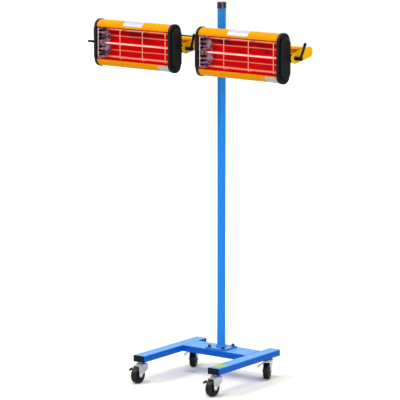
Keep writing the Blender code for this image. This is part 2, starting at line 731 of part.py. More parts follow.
def make_bracket():
    """Yoke: a lipped channel between two round-ended cheeks, bolted to the boom on spacers."""
    rear = (CHEEK_BACK, CHEEK_RISE)
    front_y = CHEEK_BACK - CHANNEL_FRONT
    rear_y = CHEEK_BACK + CHANNEL_REAR
    low = CHEEK_RISE - CHANNEL_HEIGHT / 2
    high = CHEEK_RISE + CHANNEL_HEIGHT / 2
    wall = CHANNEL_WALL
    section = [
        (front_y, low + CHANNEL_LIP), (front_y, low), (rear_y, low), (rear_y, high), (front_y, high),
        (front_y, high - CHANNEL_LIP), (front_y + wall, high - CHANNEL_LIP), (front_y + wall, high - wall),
        (rear_y - wall, high - wall), (rear_y - wall, low + wall), (front_y + wall, low + wall),
        (front_y + wall, low + CHANNEL_LIP),
    ]
    inside = cheek_x + CHEEK_WALL / 2
    channel = extruded(section, "X", -inside, inside)
    head = rear_y - wall
    spacer = cheek_reach
    nut = spacer + GAP + BOOM_DEPTH + GAP
    bolt = [
        (0, head - BOLT_HEAD), (NUT_RADIUS, head - BOLT_HEAD), (NUT_RADIUS, rear_y - wall / 2),
        (SPACER_RADIUS, rear_y - wall / 2), (SPACER_RADIUS, spacer), (BOLT_RADIUS, spacer), (BOLT_RADIUS, nut),
        (NUT_RADIUS, nut), (NUT_RADIUS, nut + BOLT_HEAD), (0, nut + BOLT_HEAD),
    ]
    bolts = [
        turned(bolt, "Y", HEXAGON, centre=(end * BRACKET_BOLT_PITCH / 2, 0, CHEEK_RISE)) for end in (-1, 1)
    ]
    outline = stadium((0, 0), rear, CHEEK_RADIUS)
    cheeks = []
    for side in (-1, 1):
        cheek = extruded(outline, "X", *sorted((side * cheek_x, side * cheek_outer_x)))
        ends = sorted((side * (cheek_x - OVERRUN), side * (cheek_outer_x + OVERRUN)))
        bore = rod(clear_of(BOLT_RADIUS), "X", *ends)
        cheeks.append(cut(cheek, bore))
    return fused(channel, *cheeks, *bolts)


def make_housing():
    """Open sheet trough: a flat back that curls round at the top and bottom to the window's lips."""
    radius = HOUSING_DEPTH / 2

    def curl(inset):
        top = arc((middle_y, window_half), radius - inset, math.pi, 0, CURL_STEPS)
        bottom = arc((middle_y, -window_half), radius - inset, 0, -math.pi, CURL_STEPS)
        return top + bottom

    outline = curl(0) + list(reversed(curl(HOUSING_WALL)))
    return extruded(outline, "X", -housing_half, housing_half)


def make_cap(side):
    """A moulded end cap: a pan over the housing's end, a raised pad, a pivot lug and the tube's socket."""

    def layers(depth, height, stations):
        for x, inset in stations:
            outline = racetrack(depth - 2 * inset, height - 2 * inset, middle_y)
            yield [along("X", point, side * x) for point in outline]

    stations = ((cap_inner_x, 0), (cap_outer_x - CAP_EDGE, 0), (cap_outer_x, CAP_EDGE))
    pan = lofted(list(layers(cap_depth, cap_height, stations)), "pan")
    pad_stations = ((cap_outer_x - CAP_FLOOR / 2, 0), (pad_x - PAD_EDGE, 0), (pad_x, PAD_EDGE))
    pad = lofted(list(layers(PAD_DEPTH, PAD_HEIGHT, pad_stations)), "pad")
    lug = extruded(
        stadium((middle_y, 0), (0, 0), LUG_RADIUS),
        "X",
        *sorted((side * (pad_x - GAP), side * (pad_x - LUG_LENGTH))),
    )
    pocket_outline = racetrack(HOUSING_DEPTH + 2 * GAP, HOUSING_HEIGHT + 2 * GAP, middle_y)
    pocket = extruded(pocket_outline, "X", *sorted((side * (cap_inner_x - OVERRUN), side * cap_floor_x)))
    bore = rod(
        clear_of(BOLT_RADIUS), "X", *sorted((side * (pad_x - LUG_LENGTH - OVERRUN), side * (pad_x + OVERRUN)))
    )
    return fused(cut(fused(pan, pad, lug), pocket, bore), make_socket(side))


def reflector_section():
    """Upper half of the trough's inner face, front to middle: (depth from the front, height)."""
    top = window_half - REFLECTOR_SHEET - GAP
    return [
        (0, top),
        (REFLECTOR_SIDE_DEPTH, top - REFLECTOR_SIDE_TAPER),
        (REFLECTOR_DEPTH, REFLECTOR_FLAT / 2),
        (REFLECTOR_DEPTH - REFLECTOR_RIDGE, 0),
    ]


def offset_line(points, distance):
    """The line moved sideways, to the left of its direction, with mitred corners."""
    result = []
    for index, point in enumerate(points):
        here = Vector(point)
        before = Vector(points[max(index - 1, 0)])
        after = Vector(points[min(index + 1, len(points) - 1)])
        runs = [run.normalized() for run in (here - before, after - here) if run.length > 0]
        sides = [Vector((-run.y, run.x)) for run in runs]
        mitre = sum(sides, Vector((0, 0))).normalized()
        result.append(tuple(here + mitre * distance / mitre.dot(sides[0])))
    return result


def end_plane(depth):
    """How far a reflector's end plate stands from the lamp's middle at a depth behind the front."""
    return cap_inner_x - REFLECTOR_END_LEAN * depth / REFLECTOR_DEPTH


def between_planes(outline, first, second):
    """A prism between two planes, each parallel to an end plate: (side, offset outward from it)."""
    rings = []
    for side, offset in (first, second):
        rings.append([(side * (end_plane(depth) + offset), reflector_y + depth, z) for depth, z in outline])
    return lofted(rings, "reflector_piece")


def make_reflector():
    """Faceted trough with front flanges and two leaning end plates, slotted and holed for the tube."""
    half = reflector_section()
    inner = half + [(depth, -z) for depth, z in reversed(half[:-1])]
    flange_z = half[0][1] + REFLECTOR_FLANGE
    face = [(0, flange_z), *inner, (0, -flange_z)]
    outline = face + list(reversed(offset_line(face, REFLECTOR_SHEET)))
    trough = between_planes(outline, (-1, REFLECTOR_SHEET / 2), (1, REFLECTOR_SHEET / 2))
    plate_outline = offset_line(inner, REFLECTOR_SHEET * REFLECTOR_LAP_SHARE)
    plates = []
    for side in (-1, 1):
        plate = between_planes(plate_outline, (side, 0), (side, REFLECTOR_SHEET))
        hole = sorted((side * end_plane(REFLECTOR_DEPTH), side * cap_inner_x))
        tools = [rod(TUBE_RADIUS + TUBE_HOLE_GAP, "X", *hole, centre=(0, middle_y, 0))]
        near, far = sorted((side * (end_plane(SLOT_INSET + SLOT_WIDTH) - OVERRUN), side * (cap_inner_x + OVERRUN)))
        front = reflector_y + SLOT_INSET
        for index in range(SLOT_COUNT):
            z = (index - (SLOT_COUNT - 1) / 2) * SLOT_PITCH
            tools.append(box((near, front, z - SLOT_LENGTH / 2), (far, front + SLOT_WIDTH, z + SLOT_LENGTH / 2)))
        plates.append(cut(plate, *tools))
    return fused(trough, *plates)


socket_start = cap_floor_x - SOCKET_LENGTH
tube_half = socket_start + SOCKET_DEPTH - GAP


def make_tube():
    """Quartz heater tube, hollow, with its ends in the caps' sockets."""
    bore = TUBE_RADIUS - TUBE_WALL
    return ring(bore, TUBE_RADIUS, "X", -tube_half, tube_half, MEDIUM_STEPS, (0, middle_y, 0))


def make_socket(side):
    """Ceramic socket for one end of the heater tube, seated in a cap's floor."""
    bore = TUBE_RADIUS + GAP
    bottom = socket_start + SOCKET_DEPTH
    end = cap_floor_x + CAP_FLOOR / 2
    profile = [
        (bore, side * socket_start), (SOCKET_RADIUS, side * socket_start), (SOCKET_RADIUS, side * end),
        (0, side * end), (0, side * bottom), (bore, side * bottom),
    ]
    return turned(profile, "X", MEDIUM_STEPS, centre=(0, middle_y, 0), closed=True)


def make_guard_wire(x):
    """An upright wire across the window, its ends bent back to the reflector's facets or its end plate."""
    front_y = reflector_y - WIRE_FORWARD
    (corner_depth, corner_z), (flat_depth, flat_z) = reflector_section()[1:3]
    share = (corner_z - WIRE_HALF_HEIGHT - WIRE_RADIUS) / (corner_z - flat_z)
    facet_depth = corner_depth + share * (flat_depth - corner_depth)
    plate_depth = (cap_inner_x - abs(x) - WIRE_RADIUS) * REFLECTOR_DEPTH / REFLECTOR_END_LEAN
    end = reflector_y + min(facet_depth, plate_depth) - GAP
    curve = bpy.data.curves.new("guard_wire", "CURVE")
    curve.dimensions = "3D"
    curve.bevel_depth = WIRE_RADIUS
    curve.bevel_resolution = 1
    curve.use_fill_caps = True
    bend = (front_y + WIRE_BEND, WIRE_HALF_HEIGHT - WIRE_BEND)
    upper = [*arc(bend, WIRE_BEND, math.pi, math.pi / 2, WIRE_BEND_STEPS), (end, WIRE_HALF_HEIGHT)]
    path = [(y, -z) for y, z in reversed(upper)] + upper
    spline = curve.splines.new("POLY")
    spline.points.add(len(path) - 1)
    for point, (y, z) in zip(spline.points, path):
        point.co = (x, y, z, 1)
    return curve


def make_pivot_bolt():
    """Plain bolt through the left cheek into the cap's lug."""
    head = cheek_outer_x + GAP
    tip = pad_x - LUG_LENGTH
    profile = [
        (0, -head - PIVOT_HEAD), (PIVOT_HEAD_RADIUS / 2, -head - PIVOT_HEAD),
        (PIVOT_HEAD_RADIUS, -head - PIVOT_HEAD / 2), (PIVOT_HEAD_RADIUS, -head), (BOLT_RADIUS, -head),
        (BOLT_RADIUS, -tip), (0, -tip),
    ]
    return turned(profile, "X", SMALL_STEPS)


def make_lever():
    """Clamping lever: a hub on the pivot's axis and a tapered arm that rises from its outer end."""
    start = cheek_outer_x + GAP
    end = start + LEVER_HUB_LENGTH
    edge = LEVER_EDGE
    hub = turned(
        [
            (0, start), (LEVER_HUB_RADIUS - edge, start), (LEVER_HUB_RADIUS, start + edge),
            (LEVER_HUB_RADIUS, end - edge), (LEVER_HUB_RADIUS - edge, end), (0, end),
        ],
        "X", MEDIUM_STEPS,
    )
    stud = rod(STUD_RADIUS, "X", pad_x - LUG_LENGTH, start + LEVER_HUB_LENGTH / 4)
    tip = LEVER_ARM_LENGTH
    arm = turned(
        [
            (0, 0), (LEVER_ARM_RADIUS, 0), (LEVER_WAIST_RADIUS, tip / 2), (LEVER_ARM_RADIUS, tip - LEVER_TIP_ROUND),
            (LEVER_ARM_RADIUS, tip - LEVER_TIP_ROUND / 2), (LEVER_ARM_RADIUS / 2, tip), (0, tip),
        ],
        "Z", SMALL_STEPS,
    )
    seat = Vector((end - LEVER_ARM_RADIUS - edge, 0, 0))
    arm = moved(arm, Matrix.Translation(seat) @ Matrix.Rotation(LEVER_ARM_OUT, 4, "Y"))
    return fused(hub, stud, arm)


def make_junction_box():
    """Box on the housing's back with a well and a raised bezel for the rocker."""
    low = housing_back_y + GAP
    high = low + BOX_DEPTH
    outline = rounded(BOX_LENGTH, BOX_HEIGHT, BOX_CORNER)
    small = rounded(BOX_LENGTH - BOX_CORNER, BOX_HEIGHT - BOX_CORNER, BOX_CORNER / 2)
    stations = ((low, outline), (high - BOX_CORNER / 2, outline), (high, small))
    shell = lofted([[along("Y", point, y) for point in points] for y, points in stations], "box")
    width = ROCKER_LENGTH + 2 * RUNNING_GAP
    proud = ROCKER_DEPTH / 2 + BEZEL_RISE + ROCKER_CROWN / 2
    swing = ROCKER_HEIGHT / 2 * math.cos(ROCKER_TILT) + proud * math.sin(ROCKER_TILT)
    height = 2 * (swing + GAP)
    bezel_outline = rounded(width + 2 * BEZEL_RIM, height + 2 * BEZEL_RIM, BEZEL_RIM, (ROCKER_SHIFT, 0))
    bezel = extruded(bezel_outline, "Y", high - BEZEL_RISE, high + BEZEL_RISE)
    well = box(
        (ROCKER_SHIFT - width / 2, high - 2 * ROCKER_DEPTH, -height / 2),
        (ROCKER_SHIFT + width / 2, high + BEZEL_RISE + OVERRUN, height / 2),
    )
    return cut(fused(shell, bezel), well)


rocker_y = housing_back_y + GAP + BOX_DEPTH - ROCKER_DEPTH / 2


def make_rocker():
    """A rocker whose face has two slopes; its origin is its pivot."""
    half = ROCKER_HEIGHT / 2
    face = ROCKER_DEPTH / 2 + BEZEL_RISE
    root = half * ROCKER_ROOT_SHARE
    crown = ROCKER_CROWN / 2
    outline = [
        (-ROCKER_DEPTH / 2, -root), (face + crown, -half), (face - crown, 0), (face + crown, half),
        (-ROCKER_DEPTH / 2, root),
    ]
    end = ROCKER_LENGTH / 2
    pin = rod(ROCKER_PIN_RADIUS, "X", -end - RUNNING_GAP / 2, end + RUNNING_GAP / 2)
    return fused(extruded(outline, "X", -end, end), pin)


def make_gland(face_x, reach, y, z=0.0):
    """Cable gland and strain relief boot pointing toward -X from a face."""
    start = face_x - GAP
    profile = [
        (0, start), (GLAND_RADIUS, start), (GLAND_RADIUS, start - GLAND_NUT_LENGTH),
        (GLAND_ROOT_RADIUS, start - GLAND_NUT_LENGTH), (GLAND_BOOT_RADIUS, start - reach),
        (GLAND_BORE_RADIUS, start - reach), (GLAND_BORE_RADIUS, start - reach + GLAND_BORE_DEPTH),
        (0, start - reach + GLAND_BORE_DEPTH),
    ]
    return turned(profile, "X", SMALL_STEPS, centre=(0, y, z))


def make_materials():
    return {
        "blue": make_material("blue_paint", (0.02, 0.22, 0.82), 0.32),
        "amber": make_material("amber_paint", (0.94, 0.38, 0.01), 0.35),
        "yellow": make_material("yellow_paint", (0.95, 0.50, 0.02), 0.35),
        "black": make_material("black_plastic", (0.02, 0.02, 0.022), 0.45),
        "boom": make_material("black_paint", (0.015, 0.015, 0.017), 0.35),
        "zinc": make_material("zinc_plate", (0.72, 0.73, 0.75), 0.3, 1.0),
        "bolt": make_material("black_steel", (0.03, 0.03, 0.035), 0.35, 0.8),
        "tyre": make_material("black_tyre", (0.018, 0.018, 0.018), 0.6),
        "mirror": make_material("polished_aluminium", (0.9, 0.55, 0.5), 0.12, 1.0),
        "glow": make_material("heater_quartz", (1.0, 0.55, 0.45), 0.2),
        "chrome": make_material("chrome_wire", (0.85, 0.8, 0.8), 0.15, 1.0),
    }


def build_stand(root, paint):
    frame_z = leg_bottom + LEG_THICKNESS / 2
    leg = make_leg()
    for side, x in leg_x.items():
        place(f"{side}_leg", leg, paint["blue"], root, (x, 0, frame_z))
    plug = make_leg_plug()
    for side, x in leg_x.items():
        place(f"front_{side}_leg_plug", plug, paint["black"], root, (x, -LEG_REACH, frame_z))
        rear = (x, LEG_LENGTH - LEG_REACH, frame_z)
        place(f"rear_{side}_leg_plug", plug, paint["black"], root, rear, (0, 0, math.pi))
    place("cross_member", make_cross_member(), paint["blue"], root, (0, 0, frame_z))
    foot = (0, 0, leg_top + GAP)
    place("mast_flange", make_flange(), paint["blue"], root, foot)
    place("mast", make_mast(), paint["blue"], root)
    place("mast_cap", make_mast_cap(), paint["black"], root)


def build_casters(root, paint):
    places = {
        f"{row}_{side}": (x, y, leg_bottom)
        for row, y in caster_y.items()
        for side, x in leg_x.items()
    }
    fork, wheel, brake = make_fork(), make_wheel(), make_brake()
    frames = {}
    for name, spot in places.items():
        swivel = REAR_CASTER_SWIVEL if name.startswith("rear") else 0
        frame = make_empty(f"{name}_swivel_axis", root, spot, (0, 0, swivel))
        place(f"{name}_fork", fork, paint["zinc"], frame)
        place(f"{name}_wheel", wheel, paint["tyre"], frame, (0, wheel_y, wheel_z))
        place(f"{name}_brake", brake, paint["zinc"], frame, (brake_x, brake_y, brake_z))
        frames[name] = frame
    return frames


def build_carriage(root, paint):
    collar = make_empty("height_axis", root, (0, 0, collar_bottom))
    place("height_collar", make_collar(), paint["black"], collar)
    reach = collar_bore + COLLAR_WALL + BOSS_LENGTH
    place("collar_knob", make_knob(reach, MAST_RADIUS + GAP), paint["black"], collar, (0, 0, COLLAR_HEIGHT / 2))
    turn = make_empty("boom_axis", collar, (0, 0, COLLAR_HEIGHT + GAP), (0, 0, -BOOM_YAW))
    middle = (0, 0, SLEEVE_HEIGHT / 2)
    place("boom_sleeve", make_sleeve(), paint["boom"], turn)
    place("sleeve_knob", make_knob(sleeve_radius + BOSS_LENGTH, MAST_RADIUS + GAP), paint["black"], turn, middle)
    boom_y = (boom_front + boom_back) / 2
    place("boom", make_boom(), paint["boom"], turn, (0, boom_y, SLEEVE_HEIGHT / 2))
    plug = make_boom_plug()
    place("boom_left_plug", plug, paint["black"], turn, (0, boom_y, SLEEVE_HEIGHT / 2))
    place("boom_right_plug", plug, paint["black"], turn, (0, boom_y, SLEEVE_HEIGHT / 2), (0, 0, math.pi))
    return collar, turn


def build_lamps(boom_frame, paint):
    bracket, housing, reflector = make_bracket(), make_housing(), make_reflector()
    tube = make_tube()
    wires = [make_guard_wire(share * WINDOW_LENGTH) for share in WIRE_PITCH_SHARES]
    caps = {"left": make_cap(-1), "right": make_cap(1)}
    bolt, lever, junction, rocker = make_pivot_bolt(), make_lever(), make_junction_box(), make_rocker()
    box_middle = housing_back_y + GAP + BOX_DEPTH / 2
    glands = {
        "left": make_gland(-pad_x, GLAND_CAP_REACH, middle_y),
        "right": make_gland(-BOX_LENGTH / 2, GLAND_BOX_REACH, box_middle),
    }
    frames = {}
    for side, x in (("left", -LAMP_PITCH / 2), ("right", LAMP_PITCH / 2)):
        spot = (x, pivot_y, SLEEVE_HEIGHT / 2 - CHEEK_RISE)
        place(f"{side}_bracket", bracket, paint["yellow"], boom_frame, spot)
        frame = make_empty(f"{side}_tilt_axis", boom_frame, spot)
        place(f"{side}_housing", housing, paint["amber"], frame)
        place(f"{side}_lamp_left_cap", caps["left"], paint["black"], frame)
        place(f"{side}_lamp_right_cap", caps["right"], paint["black"], frame)
        place(f"{side}_reflector", reflector, paint["mirror"], frame)
        place(f"{side}_heater_tube", tube, paint["glow"], frame)
        for number, wire in enumerate(wires, 1):
            place(f"{side}_guard_wire_{number}", wire, paint["chrome"], frame)
        place(f"{side}_pivot_bolt", bolt, paint["bolt"], frame)
        place(f"{side}_clamp_lever", lever, paint["black"], frame, rotation=(LEVER_LEAN[side], 0, 0))
        place(f"{side}_junction_box", junction, paint["black"], frame)
        place(f"{side}_rocker", rocker, paint["black"], frame, (ROCKER_SHIFT, rocker_y, 0), (ROCKER_TILT, 0, 0))
        place(f"{side}_cable_gland", glands[side], paint["black"], frame)
        frames[side] = frame
    return frames


def centre_over_origin(root):
    """Move the whole object so that the middle of its bounding box's base is the origin."""
    bpy.context.view_layer.update()
    graph = bpy.context.evaluated_depsgraph_get()
    low, high = Vector((math.inf,) * 3), Vector((-math.inf,) * 3)
    for obj in bpy.context.scene.objects:
        if obj.type == "EMPTY":
            continue
        solid = obj.evaluated_get(graph)
        mesh = solid.to_mesh()
        for vertex in mesh.vertices:
            point = solid.matrix_world @ vertex.co
            low = Vector(map(min, low, point))
            high = Vector(map(max, high, point))
        solid.to_mesh_clear()
    root.location = (-(low.x + high.x) / 2, -(low.y + high.y) / 2, -low.z)
    bpy.context.view_layer.update()
    print("size", [round(value, 4) for value in high - low])


def report_axis(label, frame, offset, direction):
    point = frame.matrix_world @ Vector(offset)
    heading = frame.matrix_world.to_3x3() @ Vector(direction)
    print(label, "at", [round(value, 5) for value in point], "axis", [round(value, 6) for value in heading])


def report_joints(root, casters, collar, turn, lamps):
    """Print the joint axes and the faces that others rest on, in world coordinates."""
    report_axis("height slide", collar, (0, 0, 0), (0, 0, 1))
    report_axis("collar knob", collar, (0, 0, COLLAR_HEIGHT / 2), (0, 1, 0))
    report_axis("boom turn", turn, (0, 0, 0), (0, 0, 1))
    report_axis("sleeve knob", turn, (0, 0, SLEEVE_HEIGHT / 2), (0, 1, 0))
    for side, frame in lamps.items():
        report_axis(f"{side} tilt", frame, (0, 0, 0), (1, 0, 0))
        report_axis(f"{side} rocker", frame, (ROCKER_SHIFT, rocker_y, 0), (1, 0, 0))
        report_axis(f"{side} window middle", frame, (0, housing_front_y, 0), (0, -1, 0))
    for name, frame in casters.items():
        report_axis(f"{name} swivel", frame, (0, 0, 0), (0, 0, 1))
        report_axis(f"{name} wheel", frame, (0, wheel_y, wheel_z), (1, 0, 0))
        report_axis(f"{name} brake", frame, (brake_x, brake_y, brake_z), (0, 1, 0))
    report_axis("left leg top", root, (leg_x["left"], LEG_LENGTH / 2 - LEG_REACH, leg_top), (0, 0, 1))
    report_axis("mast axis on the floor", root, (0, 0, 0), (0, 0, 1))


def main():
    clear_scene()
    paint = make_materials()
    root = make_empty("lamp_stand")
    build_stand(root, paint)
    casters = build_casters(root, paint)
    collar, turn = build_carriage(root, paint)
    lamps = build_lamps(turn, paint)
    centre_over_origin(root)
    report_joints(root, casters, collar, turn, lamps)


main()
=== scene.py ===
import json
import math

import bmesh
import bpy
from mathutils import Matrix, Vector


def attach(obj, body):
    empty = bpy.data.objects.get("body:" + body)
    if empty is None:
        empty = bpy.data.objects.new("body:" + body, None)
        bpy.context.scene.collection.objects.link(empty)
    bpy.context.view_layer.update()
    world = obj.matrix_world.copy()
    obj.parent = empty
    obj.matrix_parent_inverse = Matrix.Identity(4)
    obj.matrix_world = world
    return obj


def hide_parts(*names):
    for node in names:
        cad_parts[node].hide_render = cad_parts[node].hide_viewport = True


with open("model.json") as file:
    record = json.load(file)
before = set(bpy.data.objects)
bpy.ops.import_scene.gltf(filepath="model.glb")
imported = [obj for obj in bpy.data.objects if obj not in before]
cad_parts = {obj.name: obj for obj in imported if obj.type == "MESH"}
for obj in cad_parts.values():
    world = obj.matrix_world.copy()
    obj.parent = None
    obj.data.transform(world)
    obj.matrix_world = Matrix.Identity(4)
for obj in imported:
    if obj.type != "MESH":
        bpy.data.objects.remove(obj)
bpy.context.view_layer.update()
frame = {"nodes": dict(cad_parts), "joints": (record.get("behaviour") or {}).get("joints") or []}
joints = {joint["name"]: joint for joint in frame["joints"]}
print("frame loaded:", len(frame["nodes"]), "nodes")

sides = ("left", "right")
hands = (("left", -1), ("right", 1))
corners = ("front_left", "front_right", "rear_left", "rear_right")
mm = 0.001
quarter = math.pi / 2


# small helpers that select, shape and place
def clearSelection():
    if bpy.context.object and bpy.context.object.mode != "OBJECT":
        bpy.ops.object.mode_set(mode="OBJECT")
    bpy.ops.object.select_all(action="DESELECT")


def selectOnly(*pieces):
    clearSelection()
    for piece in pieces:
        piece.select_set(True)
    bpy.context.view_layer.objects.active = pieces[0]


def called(name):
    piece = bpy.context.object
    piece.name = piece.data.name = name
    return piece


def settle(piece, matrix=None):
    # its place goes into the mesh, and the object stays at the origin
    selectOnly(piece)
    if matrix is not None:
        piece.matrix_world = matrix @ piece.matrix_world
    bpy.ops.object.transform_apply(location=True, rotation=True, scale=True)
    return piece


def openMesh(piece):
    # edit mode, with all of the piece selected
    selectOnly(piece)
    bpy.ops.object.mode_set(mode="EDIT")
    bpy.ops.mesh.select_all(action="SELECT")


def closeMesh():
    bpy.ops.object.mode_set(mode="OBJECT")


def extrude(step):
    bpy.ops.mesh.extrude_region_move(TRANSFORM_OT_translate={"value": step})


def facesOutward(piece):
    openMesh(piece)
    bpy.ops.mesh.remove_doubles(threshold=0.000002)
    bpy.ops.mesh.normals_make_consistent(inside=False)
    closeMesh()
    return piece


def pick(piece, test):
    # opens the mesh with only the faces that pass the test selected
    openMesh(piece)
    bpy.ops.mesh.select_mode(type="FACE")
    bpy.ops.mesh.select_all(action="DESELECT")
    shape = bmesh.from_edit_mesh(piece.data)
    for face in shape.faces:
        if test(face):
            face.select_set(True)
    bmesh.update_edit_mesh(piece.data)


def pressed(piece, axis, way, *steps):
    # insets the faces that look one way along the axis, and moves them out or in
    pick(piece, lambda face: face.normal.dot(onAxis(axis, (0, 0), way)) > 0.99)
    for inset, move in steps:
        bpy.ops.mesh.inset(thickness=inset)
        if move:
            bpy.ops.transform.translate(value=onAxis(axis, (0, 0), way * move))
    closeMesh()
    return piece


def applied(piece, kind, **settings):
    selectOnly(piece)
    modifier = piece.modifiers.new(kind.lower(), kind)
    for key, value in settings.items():
        setattr(modifier, key, value)
    bpy.ops.object.modifier_apply(modifier=modifier.name)
    return piece


def eased(piece, width, segments=3, angle=35, smooth=40):
    # rounds the hard edges and shades the rest smooth
    applied(
        piece, "BEVEL", width=width, segments=segments, limit_method="ANGLE",
        angle_limit=math.radians(angle), use_clamp_overlap=True,
    )
    return shaded(piece, smooth)


def shaded(piece, smooth=40):
    selectOnly(piece)
    bpy.ops.object.shade_smooth_by_angle(angle=math.radians(smooth))
    return applied(piece, "WEIGHTED_NORMAL", keep_sharp=True, weight=60)


def joined(name, *pieces):
    selectOnly(*pieces)
    bpy.ops.object.join()
    return called(name)


def carve(piece, operation, *tools):
    for tool in tools:
        applied(piece, "BOOLEAN", operation=operation, object=tool, solver="EXACT")
        bpy.data.objects.remove(tool)
    return piece


def copied(piece, name, matrix):
    twin = piece.copy()
    twin.data = piece.data.copy()
    twin.name = twin.data.name = name
    bpy.context.scene.collection.objects.link(twin)
    return settle(twin, matrix)


def dropped(*pieces):
    for piece in pieces:
        bpy.data.objects.remove(piece)


def shifted(x, y, z):
    return Matrix.Translation((x, y, z))


def otherHand(piece, sign, y=0):
    # the left twin of a right-hand piece, by half a turn about the upright through y
    if sign < 0:
        settle(piece, shifted(0, 2 * y, 0) @ Matrix.Rotation(math.pi, 4, "Z"))
    return piece


def onAxis(axis, across, height):
    u, v = across
    return Vector({"X": (height, u, v), "Y": (u, height, v), "Z": (u, v, height)}[axis])


def block(name, low, high):
    clearSelection()
    middle = [(a + b) / 2 for a, b in zip(low, high)]
    bpy.ops.mesh.primitive_cube_add(size=1, location=middle)
    piece = called(name)
    piece.scale = [b - a for a, b in zip(low, high)]
    return settle(piece)


def drawn(name, outline, axis, *ends):
    # an outline drawn point by point from one corner, filled, then extruded along the axis
    low, high = sorted(ends)
    clearSelection()
    bpy.ops.mesh.primitive_plane_add(size=mm, location=onAxis(axis, outline[0], low))
    piece = settle(called(name))
    openMesh(piece)
    bpy.ops.mesh.select_mode(type="VERT")
    bpy.ops.mesh.merge(type="CENTER")
    for here, there in zip(outline, outline[1:]):
        extrude(onAxis(axis, there, 0) - onAxis(axis, here, 0))
    bpy.ops.mesh.select_all(action="SELECT")
    bpy.ops.mesh.edge_face_add()
    extrude(onAxis(axis, (0, 0), high - low))
    closeMesh()
    return facesOutward(piece)


def lathed(name, stations, axis="Z", centre=(0, 0, 0), sides=48):
    # a disc extruded and scaled from station to station: (radius, place along the axis)
    radius, height = stations[0]
    clearSelection()
    bpy.ops.mesh.primitive_circle_add(
        vertices=sides, radius=radius, fill_type="NGON", location=(0, 0, height))
    piece = settle(called(name))
    openMesh(piece)
    for nextRadius, nextHeight in stations[1:]:
        extrude((0, 0, nextHeight - height))
        share = nextRadius / radius
        bpy.ops.transform.resize(value=(share, share, 1), center_override=(0, 0, nextHeight))
        radius, height = nextRadius, nextHeight
    closeMesh()
    facesOutward(piece)
    turn, about = {"X": (quarter, "Y"), "Y": (-quarter, "X"), "Z": (0, "Z")}[axis]
    return settle(piece, Matrix.Translation(centre) @ Matrix.Rotation(turn, 4, about))


def stepped(start, *steps, core=0):
    # stations from radii and distances in millimetres, past a start and a core in metres
    return [(core + radius * mm, start + height * mm) for radius, height in steps]


def rod(radius, low, high, edge, drop=None):
    # stations of a rod with broken ends
    end = radius - (drop or edge)
    return [(end, low), (radius, low + edge), (radius, high - edge), (end, high)]


def arc(centre, radius, start, end, steps):
    turns = [start + (end - start) * step / steps for step in range(steps + 1)]
    x, y = centre
    return [(x + radius * math.cos(turn), y + radius * math.sin(turn)) for turn in turns]


def roundedBox(width, height, corner, centre=(0, 0)):
    points = []
    for turn, (right, up) in enumerate(((1, 1), (-1, 1), (-1, -1), (1, -1))):
        x = centre[0] + right * (width / 2 - corner)
        y = centre[1] + up * (height / 2 - corner)
        points += arc((x, y), corner, turn * quarter, (turn + 1) * quarter, 5)
    return points


def racetrack(depth, height, middle):
    radius = depth / 2
    straight = height / 2 - radius
    top = arc((middle, straight), radius, 0, math.pi, 24)
    return top + arc((middle, -straight), radius, math.pi, math.tau, 24)


def stadium(first, second, radius, steps):
    heading = math.atan2(second[1] - first[1], second[0] - first[0])
    near = arc(first, radius, heading + quarter, heading + 3 * quarter, steps)
    return near + arc(second, radius, heading - quarter, heading + quarter, steps)


def wire(name, points, radius, sides=4):
    # a round wire along a line of points
    curve = bpy.data.curves.new(name, "CURVE")
    curve.dimensions = "3D"
    curve.bevel_depth = radius
    curve.bevel_resolution = sides
    curve.use_fill_caps = True
    line = curve.splines.new("POLY")
    line.points.add(len(points) - 1)
    for point, spot in zip(line.points, points):
        point.co = (*spot, 1)
    piece = bpy.data.objects.new(name, curve)
    bpy.context.scene.collection.objects.link(piece)
    selectOnly(piece)
    bpy.ops.object.convert(target="MESH")
    return shaded(facesOutward(called(name)), 60)


# materials
def tint(*screen):
    # screen colour, 0 to 255, to the renderer's own scale
    shares = [value / 255 for value in screen]
    own = [s / 12.92 if s <= 0.04045 else ((s + 0.055) / 1.055) ** 2.4 for s in shares]
    return (*own, 1)


def dimmed(colour, share):
    return (*[value * share for value in colour[:3]], 1)


class Value:
    # a node's output; an expression on values adds its Math nodes
    def __init__(self, paint, socket):
        self.paint = paint
        self.socket = socket

    def beside(self, output):
        # another output of the same node
        return Value(self.paint, self.socket.node.outputs[output])

    def maths(self, operation, first, second):
        return self.paint.add("ShaderNodeMath", {0: first, 1: second}, operation=operation)

    def __add__(self, other):
        return self.maths("ADD", self, other)

    __radd__ = __add__

    def __sub__(self, other):
        return self.maths("SUBTRACT", self, other)

    def __rsub__(self, other):
        return self.maths("SUBTRACT", other, self)

    def __mul__(self, other):
        return self.maths("MULTIPLY", self, other)

    __rmul__ = __mul__

    def __abs__(self):
        return self.maths("ABSOLUTE", self, 0)


